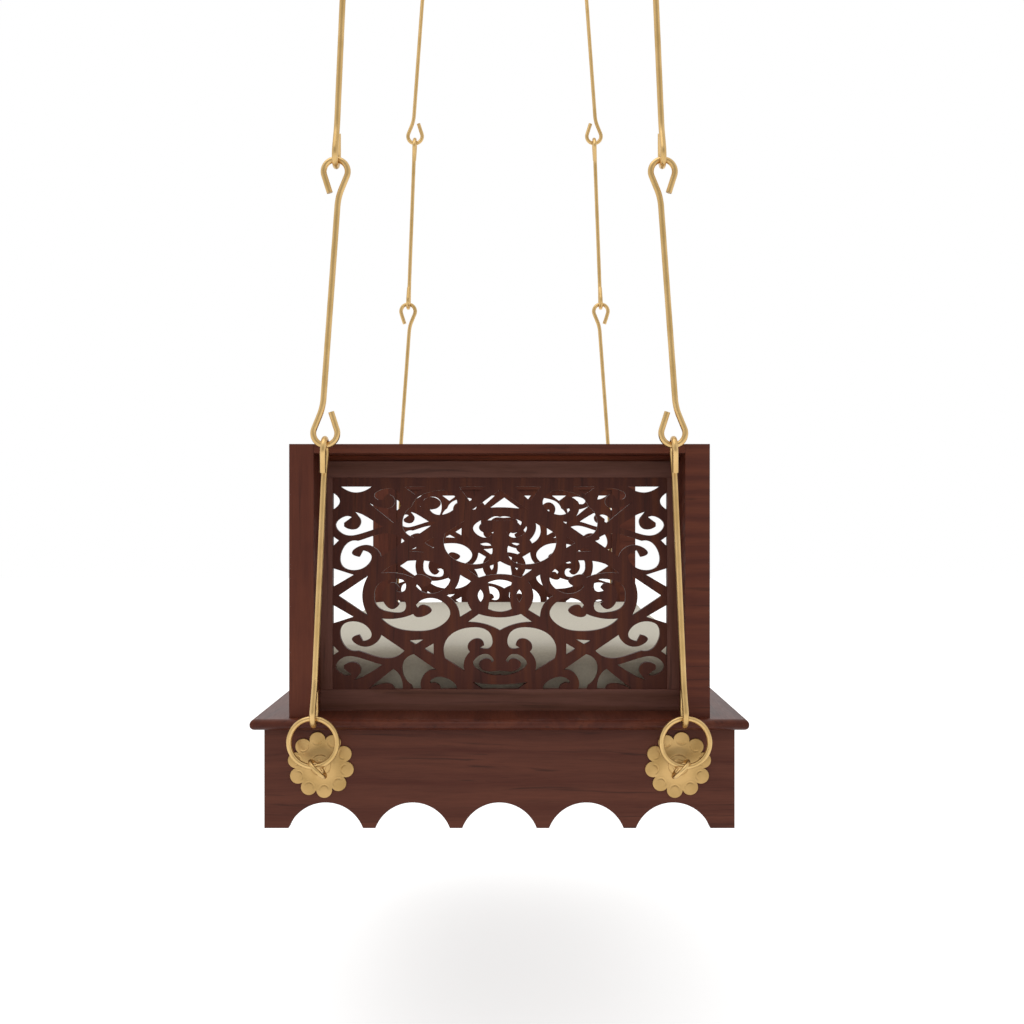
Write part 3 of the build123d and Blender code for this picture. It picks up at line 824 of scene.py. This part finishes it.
# ---- hook-link chains ----
@dataclass
class HookChain:
    """One chain: five bent links under a ceiling eye, and the ring at its foot."""

    corner: Corner
    smithy: Smithy
    link_count: int = 5
    hang_gap: float = 0.3 * MM
    ring_play: float = 0.9 * MM
    hook_taper: float = 20.0
    hook_tip_drop: float = 27.0 * MM
    rod_offset: float = 4.3 * MM
    knee_radius: float = 70.0 * MM
    tip_rounding: float = 1.2 * MM
    joint_swell: float = 1.05
    joint_turn: float = 35.0
    ring_steps: int = 120

    def __post_init__(self) -> None:
        """Read the chain's line, pitch and wire from the frame."""
        name = self.corner.name
        self.top = JOINTS[f"{name}_swing"]
        fall = JOINTS[f"{name}_sway"] - self.top
        self.pitch = fall.length
        self.up = -fall.normalized()
        low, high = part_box(f"{name}_link_2")
        self.wire = high.y - low.y
        low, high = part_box(f"{name}_link_1")
        self.bend = (high.y - low.y - self.wire) / 2

    def outward(self, number: int) -> Vector:
        """Find the way that a link's upper tip points: out of the end, or out of the side.

        Args:
            number: the link's number, from 1 at the foot.

        Returns:
            The direction.
        """
        if number % 2:
            return Vector((0, self.corner.end.value, 0))
        return self.up.cross(Vector((0, 1, 0))) * -self.corner.side.value

    def outline(self, number: int) -> list[Vector]:
        """Draw the bent line of a link in its own plane.

        Args:
            number: the link's number.

        Returns:
            The line's points, from the upper tip to the lower tip.
        """
        gap = (self.hang_gap + (self.ring_play if number == 1 else self.hang_gap)) / 2
        taper = math.radians(self.hook_taper)
        reach, fall = self.bend * math.cos(taper), self.bend * math.sin(taper)
        tip = reach - (self.hook_tip_drop - fall) * math.tan(taper)
        knee_drop = fall + (reach - self.rod_offset) / math.tan(taper)
        upper = -self.bend
        lower = -(self.pitch + self.wire + gap) + self.bend
        turn = 180 + 2 * self.hook_taper
        start, high_knee = Vector((-reach, upper - fall)), Vector((-self.rod_offset, upper - knee_drop))
        low_knee, finish = Vector((self.rod_offset, lower + knee_drop)), Vector((reach, lower + fall))
        return [
            Vector((tip, upper - self.hook_tip_drop)),
            *arc(Vector((0, upper)), self.bend, -self.hook_taper, turn),
            *knee(start, high_knee, low_knee, self.knee_radius),
            *knee(high_knee, low_knee, finish, self.knee_radius),
            *arc(Vector((0, lower)), self.bend, self.hook_taper, -turn),
            Vector((-tip, lower + self.hook_tip_drop)),
        ]

    def build_link(self, number: int) -> None:
        """Make one link, from its hook's tip to its other tip.

        Args:
            number: the link's number.
        """
        name = f"{self.corner.name}_hook_link_{number}"
        outward = self.outward(number)
        top = self.top - self.up * self.pitch * (self.link_count - number)
        path = [top + outward * point.x + self.up * point.y for point in self.outline(number)]
        mesh = self.smithy.rod(name, path, self.wire, self.tip_rounding)
        body = f"{self.corner.name}_top_link" if number == self.link_count else f"{self.corner.name}_chain"
        settle(place_mesh(name, mesh, None), body, "brass", f"{self.corner.name}_link_{number}")

    def build_ring(self) -> None:
        """Make the ring at the chain's foot."""
        node = f"{self.corner.name}_ring"
        low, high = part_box(node)
        wire = (high.y - low.y) / 2
        radius = (high.x - low.x) / 2 - wire
        mesh = self.smithy.ring(f"{node}_wire", radius, wire, self.joint_swell, self.ring_steps)
        turn = Matrix.Rotation(math.radians(self.joint_turn), 4, "Z")
        stand = Matrix.Rotation(math.radians(90), 4, "X") @ turn
        mesh.transform(Matrix.Translation((low + high) / 2) @ stand)
        settle(place_mesh(f"{node}_wire", mesh, None), node, "brass", node)

    def build(self) -> None:
        """Make the whole chain."""
        for number in range(1, self.link_count + 1):
            self.build_link(number)
        self.build_ring()


# ---- joinery: seat and arms ----
@dataclass
class Joinery:
    """The boards of the seat and the arms, with their edges eased by sanding.

    The right posts are cut across their plank, so their figure runs sideways.
    """

    finishes: Finishes
    ease: float = 0.9 * MM

    def board(self, node: str, grain: Grain, finish: Material, slot: str, ease: float) -> None:
        """Replace one CAD board by its eased and dressed copy."""
        mesh = eased_board(node, grain, ease)
        settle(place_mesh(f"{node}_board", mesh, finish), "seat", slot, node)

    def build(self) -> None:
        """Dress every wooden piece."""
        wood, full, slight = self.finishes, self.ease, self.ease / 2
        self.board("seat_plank", Grain.ALONG, wood.plank, "plank_wood", 0)
        self.board("corner_blocks", Grain.UPRIGHT, wood.inner, "inner_wood", full)
        self.board("cross_battens", Grain.ACROSS, wood.inner, "inner_wood", full)
        for side in Side:
            self.board(f"{side.name.lower()}_side_apron", Grain.ALONG, wood.apron, "apron_wood", full)
        for end in End:
            # The near arm's frame takes the copy with painted sheen; the far arm's frame takes the jali's
            # colours.
            framing = wood.frame if end is End.NEAR else wood.jali
            for node, grain, finish, slot, ease in (
                ("end_apron", Grain.ACROSS, wood.apron, "apron_wood", full),
                ("top_rail", Grain.ACROSS, wood.arm, "arm_wood", full),
                # The spacer's finish carries painted bounce light for the shaded gap.
                ("rail_spacer", Grain.ACROSS, wood.spacer, "arm_wood", slight),
                ("frame_top", Grain.ACROSS, framing, "arm_wood", slight),
                ("frame_bottom", Grain.ACROSS, framing, "arm_wood", slight),
                ("frame_sides", Grain.UPRIGHT, framing, "arm_wood", slight),
                ("jali", Grain.UPRIGHT, wood.jali, "jali_wood", 0),
                ("left_post", Grain.UPRIGHT, wood.arm, "arm_wood", full),
                ("right_post", Grain.ACROSS, wood.arm, "arm_wood", full),
            ):
                self.board(f"{end.name.lower()}_{node}", grain, finish, slot, ease)


# ---- rosettes, eyes and ceiling fittings ----
@dataclass
class Rosette:
    """A pressed flower plate: ten round petals about a shallow dome with two stepped collars."""

    corner: Corner
    petal_count: int = 10
    petal_radius: float = 10.2 * MM
    petal_ring: float = 32.4 * MM
    petal_turn: float = 7.6
    petal_rise: float = 0.35 * MM
    petal_sink: float = 0.3
    plate: float = 2.5 * MM
    edge_drop: float = 0.5 * MM
    dome_radius: float = 25.0 * MM
    dome_height: float = 6.0 * MM
    hole_radius: float = 4.0 * MM
    groove_radius: float = 6.2 * MM
    groove_width: float = 0.6 * MM
    groove_depth: float = 0.6 * MM
    groove_spread: float = 1.6
    collar_radii: tuple[float, float] = (13.0 * MM, 7.7 * MM)
    collar_rise: float = 1.3 * MM
    collar_slope: float = 0.4 * MM
    rings: int = 60
    spokes: int = 240

    def outline(self, bearing: float) -> float:
        """The plate's radius along one bearing, measured from a petal's middle."""
        across = self.petal_ring * math.sin(bearing)
        return self.petal_ring * math.cos(bearing) + math.sqrt(self.petal_radius**2 - across**2)

    def height(self, radius: float, bearing: float) -> float:
        """Work out the plate's height at one place.

        Args:
            radius: the place's distance from the middle.
            bearing: its bearing from the nearest petal's middle.

        Returns:
            How far the front face stands above the back.
        """
        rise = self.plate
        if radius < self.dome_radius:
            rise += self.dome_height * (1 + math.cos(math.pi * radius / self.dome_radius)) / 2
            for collar in self.collar_radii:
                rise += self.collar_rise * (1 - math.tanh((radius - collar) / self.collar_slope)) / 2
        x = radius * math.cos(bearing) - self.petal_ring
        y = radius * math.sin(bearing)
        away = math.hypot(x, y)
        if radius > self.dome_radius and away < self.petal_radius:
            bulge = 1 - (away / self.petal_radius) ** 2
            rise += self.petal_rise * bulge - self.petal_sink * self.petal_rise
        inward = max(0.0, -x / max(away, LEAST))
        line = math.exp(-(((away - self.groove_radius) / self.groove_width) ** 2))
        return rise - self.groove_depth * line * min(1.0, self.groove_spread * inward)

    def build(self) -> Mesh:
        """Make the plate as a closed shell, flat at the back.

        Returns:
            The plate's mesh, lying on its back about the origin.
        """
        pitch = 2 * math.pi / self.petal_count
        hole = self.hole_radius
        shape = bmesh.new()
        rows = []
        for spoke in range(self.spokes):
            angle = 2 * math.pi * spoke / self.spokes
            bearing = (angle + pitch / 2) % pitch - pitch / 2
            edge = self.outline(bearing)
            section = []
            for ring in range(self.rings + 1):
                radius = hole + (edge - hole) * ring / self.rings
                drop = self.edge_drop if ring == self.rings else 0
                section.append((radius, self.height(radius, bearing) - drop))
            section += [(edge, 0), (hole, 0)]
            rows.append([shape.verts.new((radius * math.cos(angle), radius * math.sin(angle), height))
                         for radius, height in section])
        for row, after in zip(rows, rows[1:] + rows[:1]):
            for place in range(len(row)):
                ahead = (place + 1) % len(row)
                face = shape.faces.new((row[place], row[ahead], after[ahead], after[place]))
                face.smooth = place < self.rings
        bmesh.ops.recalc_face_normals(shape, faces=shape.faces)
        mesh = bpy.data.meshes.new(f"{self.corner.name}_rosette")
        shape.to_mesh(mesh)
        shape.free()
        return mesh

    def stand(self, centre: Vector) -> Matrix:
        """Find the turn and place that put the plate upright against the apron.

        Args:
            centre: the middle of the plate's back.

        Returns:
            The matrix that moves the plate there.
        """
        end, side = self.corner.end.value, self.corner.side.value
        basis = Matrix((Vector((-end, 0, 0)), UP, Vector((0, end, 0)))).transposed().to_4x4()
        turn = Matrix.Rotation(math.radians(90 + side * end * self.petal_turn), 4, "Z")
        return Matrix.Translation(centre) @ basis @ turn


@dataclass
class Hardware:
    """The seat's rosettes, eye bolts and nuts, and the ceiling fittings."""

    smithy: Smithy
    finishes: Finishes
    eye_tilt: float = 46.0
    eye_mouth: float = 7.0
    eye_loop: float = 13.2 * MM
    eye_wire: float = 5.4 * MM
    eye_rounding: float = 0.4 * MM
    neck_lap: float = 1.5 * MM
    shank: float = 8.0 * MM
    shank_rounding: float = 1.6 * MM
    bolt_pitch: float = 1.25 * MM
    thread_run: float = 14.0 * MM
    ceiling_loop: float = 15.0 * MM
    ceiling_wire: float = 9.0 * MM
    ceiling_steps: int = 96
    ceiling_lap: float = 2.0 * MM
    ceiling_shank: float = 14.0 * MM
    ceiling_rounding: float = 1.0 * MM
    stud: float = 12.0 * MM
    stud_pitch: float = 1.75 * MM
    plate_ease: float = 1.6 * MM
    lock_nut_ease: float = 0.8 * MM
    eye_nut_ease: float = 0.35 * MM

    def eye_centre(self, corner: Corner) -> Vector:
        """Work the middle of a corner's eye back from where its wire bears on the ring.

        Args:
            corner: the corner.

        Returns:
            The middle of its eye.
        """
        tilt = math.radians(self.eye_tilt)
        low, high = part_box("eye_bolts")
        side, end = corner.side.value, corner.end.value
        x = high.x - self.eye_loop * math.cos(tilt) - self.eye_wire / 2
        return Vector((side * x, end * (high.y - self.eye_loop - self.eye_wire / 2), (low.z + high.z) / 2))

    def build_eye(self, corner: Corner) -> Object:
        """Make one eye bolt: an almost closed loop on a shank with a threaded end.

        Args:
            corner: the corner that it belongs to.

        Returns:
            The piece.
        """
        name = f"{corner.name}_eye_bolt"
        centre = self.eye_centre(corner)
        side, end = corner.side.value, corner.end.value
        tilt = math.radians(self.eye_tilt)
        back, lean = Vector((0, -end, 0)), Vector((side * math.cos(tilt), 0, math.sin(tilt)))
        bend = arc(Vector((0, 0)), self.eye_loop, self.eye_mouth, 360 - 2 * self.eye_mouth)
        loop = [centre + back * point.x + lean * point.y for point in bend]
        neck = centre + back * (self.eye_loop - self.neck_lap)
        apron_low, apron_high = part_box(f"{corner.end.name.lower()}_end_apron")
        inner = min(abs(apron_low.y), abs(apron_high.y))
        collar = Vector((centre.x, end * inner, centre.z))
        tip = Vector((centre.x, end * (inner - self.thread_run), centre.z))
        shop = self.smithy
        return shop.join(name, [
            shop.rod(f"{name}_loop", loop, self.eye_wire, self.eye_rounding),
            shop.rod(f"{name}_shank", [neck, collar], self.shank, self.shank_rounding),
            shop.thread(f"{name}_thread", tip, -back, self.shank, self.bolt_pitch, self.thread_run),
        ])

    def build_eyes(self) -> None:
        """Make the four eye bolts, as one piece for each corner."""
        for index, corner in enumerate(CORNERS):
            settle(self.build_eye(corner), "seat", "brass", *(["eye_bolts"] if index == 0 else []))

    def build_rosettes(self) -> None:
        """Make the four flower plates against the end aprons."""
        for corner in CORNERS:
            end = corner.end.name.lower()
            low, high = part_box(f"{end}_rosettes")
            back = low.y if corner.end is End.FAR else high.y
            centre = self.eye_centre(corner)
            rosette = Rosette(corner)
            mesh = rosette.build()
            mesh.transform(rosette.stand(Vector((centre.x, back, centre.z))))
            piece = place_mesh(f"{corner.name}_rosette", mesh, self.finishes.sheet)
            settle(piece, "seat", "brass", *([f"{end}_rosettes"] if corner.side is Side.LEFT else []))

    def build_ceiling(self) -> None:
        """Make the four ceiling eyes: a closed loop on a shank, with a threaded stud above."""
        low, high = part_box("ceiling_eyes")
        shop, loop, wire = self.smithy, self.ceiling_loop, self.ceiling_wire
        for index, corner in enumerate(CORNERS):
            name = f"{corner.name}_ceiling_eye"
            swing = JOINTS[f"{corner.name}_swing"]
            middle = Vector((corner.side.value * (high.x - loop - wire / 2), swing.y,
                             low.z + loop + wire / 2))
            ring = shop.ring(f"{name}_loop", loop, wire / 2, 1.0, self.ceiling_steps)
            ring.transform(Matrix.Translation(middle) @ Matrix.Rotation(math.radians(90), 4, "X"))
            foot = middle + UP * loop - UP * self.ceiling_lap
            top = Vector((middle.x, middle.y, 0))
            piece = shop.join(name, [
                ring,
                shop.rod(f"{name}_shank", [foot, top], self.ceiling_shank, self.ceiling_rounding),
                shop.thread(f"{name}_stud", top, UP, self.stud, self.stud_pitch, high.z),
            ])
            settle(piece, "ceiling", "brass", *(["ceiling_eyes"] if index == 0 else []))

    def dress_plain(self) -> None:
        """Ease and dress the plates and nuts, and dress the screws, whose CAD shapes stay."""
        for node, ease, body, finish in (
            ("ceiling_plates", self.plate_ease, "ceiling", self.finishes.sheet),
            ("ceiling_nuts", self.lock_nut_ease, "ceiling", self.finishes.wire),
            ("eye_nuts", self.eye_nut_ease, "seat", self.finishes.wire),
        ):
            mesh = eased_board(node, Grain.ALONG, ease)
            settle(place_mesh(f"{node}_turned", mesh, finish), body, "brass", node)
        for node in ("arm_screws", "batten_screws"):
            screws = frame["nodes"][node]
            screws.data.materials.clear()
            screws.data.materials.append(self.finishes.steel)

    def build(self) -> None:
        """Make all the hardware."""
        self.build_eyes()
        self.build_rosettes()
        self.build_ceiling()
        self.dress_plain()


# ---- cushion ----
@dataclass
class Cushion:
    """A loose, flat seat cushion in a cotton cover, filled firm and slightly crowned."""

    cotton: Material
    end_shrink: float = 5.0 * MM
    side_swell: float = 3.0 * MM
    top_swell: float = 1.5 * MM
    corner: float = 30.0 * MM
    edge: float = 24.0 * MM
    voxel: float = 6.0 * MM
    rest_band: float = 2.0 * MM
    pressure: float = 4.0
    frames: int = 20
    swell_limit: float = 4.5 * MM

    def blank(self) -> Mesh:
        """Make a rounded slab on the CAD cushion's place, with room at the ends for the arms.

        Returns:
            The slab's mesh.
        """
        low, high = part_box("cushion")
        high = high + UP * self.top_swell
        shape = bmesh.new()
        bmesh.ops.create_cube(shape, size=1.0)
        size = high - low + 2 * Vector((self.side_swell, -self.end_shrink, 0))
        middle = (low + high) / 2
        for vertex in shape.verts:
            vertex.co = Vector([vertex.co[i] * size[i] + middle[i] for i in range(3)])
        upright = [e for e in shape.edges if abs(e.verts[0].co.z - e.verts[1].co.z) > size.z / 2]
        bmesh.ops.bevel(shape, geom=upright, offset=self.corner, segments=8, profile=0.5, affect="EDGES")
        flat = [f for f in shape.faces if abs(f.normal.z) > LEVEL_NORMAL]
        rim = [e for f in flat for e in f.edges]
        bmesh.ops.bevel(shape, geom=rim, offset=self.edge, segments=6, profile=0.5, affect="EDGES")
        mesh = bpy.data.meshes.new("cushion_blank")
        shape.to_mesh(mesh)
        shape.free()
        return mesh

    def bake(self, piece: Object) -> None:
        """Replace a piece's mesh by what its modifiers make, and take them off.

        Args:
            piece: the piece.
        """
        depsgraph = bpy.context.evaluated_depsgraph_get()
        piece.data = bpy.data.meshes.new_from_object(piece.evaluated_get(depsgraph), depsgraph=depsgraph)
        piece.modifiers.clear()

    def reshape(self, piece: Object, kind: str, **settings: Any) -> None:
        """Put one modifier on a piece and bake it.

        Args:
            piece: the piece.
            kind: the modifier's type.
            settings: the modifier's own properties.
        """
        modifier = piece.modifiers.new(kind.lower(), kind)
        for name, value in settings.items():
            setattr(modifier, name, value)
        self.bake(piece)

    def inflate(self, piece: Object) -> None:
        """Blow the cover up like a filled cushion, and cap how far it moves.

        Args:
            piece: the cushion, whose lowest points stay where they rest.
        """
        base = piece.vertex_groups.new(name="base")
        floor = min(v.co.z for v in piece.data.vertices)
        resting = [v.index for v in piece.data.vertices if v.co.z < floor + self.rest_band]
        base.add(resting, 1.0, "REPLACE")
        start = [v.co.copy() for v in piece.data.vertices]
        cloth = piece.modifiers.new("cloth", "CLOTH").settings
        for name, value in {
            "quality": 5, "mass": 0.3, "tension_stiffness": 12, "compression_stiffness": 12,
            "bending_stiffness": 0.6, "use_pressure": True, "uniform_pressure_force": self.pressure,
            "vertex_group_mass": "base",
        }.items():
            setattr(cloth, name, value)
        cloth.effector_weights.gravity = 0
        scene = bpy.context.scene
        for number in range(1, self.frames + 1):
            scene.frame_set(number)
        self.bake(piece)
        for vertex, before in zip(piece.data.vertices, start):
            move = vertex.co - before
            if move.length > self.swell_limit:
                vertex.co = before + move.normalized() * self.swell_limit
        scene.frame_set(1)

    def store_weave(self, mesh: Mesh) -> None:
        """Lay the weave flat on the top and fold it down over the sides.

        Args:
            mesh: the cushion's mesh.
        """
        _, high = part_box("cushion")
        attribute = mesh.attributes.new("weave", "FLOAT_VECTOR", "POINT")
        for index, vertex in enumerate(mesh.vertices):
            drop = high.z - vertex.co.z
            side = math.copysign(1, vertex.co.x) if abs(vertex.co.x) > high.x - self.edge else 0
            end = math.copysign(1, vertex.co.y) if abs(vertex.co.y) > high.y - self.edge else 0
            attribute.data[index].vector = (vertex.co.x + side * drop, vertex.co.y + end * drop, 0)

    def build(self) -> None:
        """Make the cushion."""
        piece = place_mesh("seat_cushion", self.blank(), self.cotton)
        self.reshape(piece, "REMESH", mode="VOXEL", voxel_size=self.voxel)
        self.inflate(piece)
        self.reshape(piece, "SMOOTH", factor=0.5, iterations=4)
        self.reshape(piece, "SUBSURF", levels=1, render_levels=1)
        piece.data.materials.clear()
        piece.data.materials.append(self.cotton)
        for face in piece.data.polygons:
            face.use_smooth = True
        self.store_weave(piece.data)
        settle(piece, "seat", "cushion_cover", "cushion")


# ---- studio ----
@dataclass
class Studio:
    """A white studio: a pale floor, an even sky of light, one soft lamp and the camera."""

    floor_drop: float = 0.36
    floor_reach: float = 14.0
    floor_colour: str = "#e9e9e8"
    floor_glow: float = 0.55
    ambient: float = 0.80
    camera_side: float = 0.56
    dim_edges: tuple[float, float] = (-0.94, -0.40)
    lamp_place: tuple[float, float, float] = (-0.6, -0.8, 0.9)
    lamp_target: tuple[float, float, float] = (0.0, 0.0, -1.8)
    lamp_size: float = 2.4
    lamp_power: float = 18.0
    camera_place: tuple[float, float, float] = (0.016, -2.422, -1.539)
    lens: float = 50.3
    sensor: float = 36.0

    def build_floor(self) -> None:
        """Lay a wide pale floor that looks white to the camera and keeps a soft shadow."""
        low, _ = cad_bounds
        reach, z = self.floor_reach, low.z - self.floor_drop
        mesh = bpy.data.meshes.new("studio_floor")
        corners = [(-reach, -reach, z), (reach, -reach, z), (reach, reach, z), (-reach, reach, z)]
        mesh.from_pydata(corners, [], [(0, 1, 2, 3)])
        material, tree = start_material("white_floor")
        matt = add_node(tree, "ShaderNodeBsdfDiffuse", {"Color": srgb(self.floor_colour)})
        path = add_node(tree, "ShaderNodeLightPath").outputs
        seen = path["Is Camera Ray"]
        for ray in ("Is Glossy Ray", "Is Transmission Ray"):
            seen = add_node(tree, "ShaderNodeMath", {0: seen, 1: path[ray]}, operation="MAXIMUM")
        lift = add_node(tree, "ShaderNodeMath", {0: seen, 1: self.floor_glow}, operation="MULTIPLY")
        glow = add_node(tree, "ShaderNodeEmission", {"Strength": lift})
        both = add_node(tree, "ShaderNodeAddShader", {0: matt, 1: glow})
        add_node(tree, "ShaderNodeOutputMaterial", {"Surface": both})
        floor = place_mesh("studio_floor", mesh, material)

    def build_world(self) -> None:
        """Light the object with an even sky, white to the camera.

        What the metal mirrors is dimmer on the camera's side, as a room with a dark end would be.
        """
        world = bpy.data.worlds.new("studio")
        world.use_nodes = True
        bpy.context.scene.world = world
        tree = world.node_tree
        tree.nodes.clear()
        start, end = self.dim_edges
        way = add_node(tree, "ShaderNodeTexCoord").outputs["Generated"]
        parts = add_node(tree, "ShaderNodeSeparateXYZ", {0: way})
        front = add_node(tree, "ShaderNodeMapRange",
                         {"Value": parts.outputs["Y"], "From Min": start, "From Max": end,
                          "To Min": self.camera_side, "To Max": 1.0}, interpolation_type="SMOOTHSTEP")
        path = add_node(tree, "ShaderNodeLightPath").outputs
        level = add_node(tree, "ShaderNodeMix", {0: path["Is Glossy Ray"], 2: self.ambient, 3: front},
                         data_type="FLOAT")
        seen = add_node(tree, "ShaderNodeMath", {0: path["Is Camera Ray"], 1: path["Is Transmission Ray"]},
                        operation="MAXIMUM")
        light, white = (add_node(tree, "ShaderNodeBackground", {"Strength": strength, "Color": WHITE})
                        for strength in (level, 1.0))
        choice = add_node(tree, "ShaderNodeMixShader", {0: seen, 1: light, 2: white})
        add_node(tree, "ShaderNodeOutputWorld", {"Surface": choice})

    def build_lamp(self) -> None:
        """Hang one square soft lamp above the swing, pointed at the seat."""
        lamp = bpy.data.lights.new("overhead_lamp", "AREA")
        lamp.size = self.lamp_size
        lamp.energy = self.lamp_power
        place, target = Vector(self.lamp_place), Vector(self.lamp_target)
        holder = bpy.data.objects.new("overhead_lamp", lamp)
        holder.location = place
        holder.rotation_euler = (target - place).to_track_quat("-Z", "Y").to_euler()
        bpy.context.scene.collection.objects.link(holder)

    def build_camera(self) -> None:
        """Set the camera level, at arm height, in front of the near arm."""
        camera = bpy.data.cameras.new("camera")
        camera.lens = self.lens
        camera.sensor_width = self.sensor
        holder = bpy.data.objects.new("camera", camera)
        holder.location = self.camera_place
        holder.rotation_euler = (math.radians(90), 0, 0)
        bpy.context.scene.collection.objects.link(holder)
        bpy.context.scene.camera = holder

    def build(self) -> None:
        """Set the studio up."""
        bpy.context.scene.view_settings.view_transform = "Standard"
        self.build_floor()
        self.build_world()
        self.build_lamp()
        self.build_camera()


def main() -> None:
    """Build the swing, dress it and set up the studio."""
    logging.basicConfig(level=logging.INFO, format="%(message)s")
    finishes = build_finishes()
    smithy = Smithy(finishes.wire)
    Studio().build()
    Joinery(finishes).build()
    for corner in CORNERS:
        HookChain(corner, smithy).build()
    Hardware(smithy, finishes).build()
    Cushion(finishes.cotton).build()


if __name__ == "__main__":
    main()
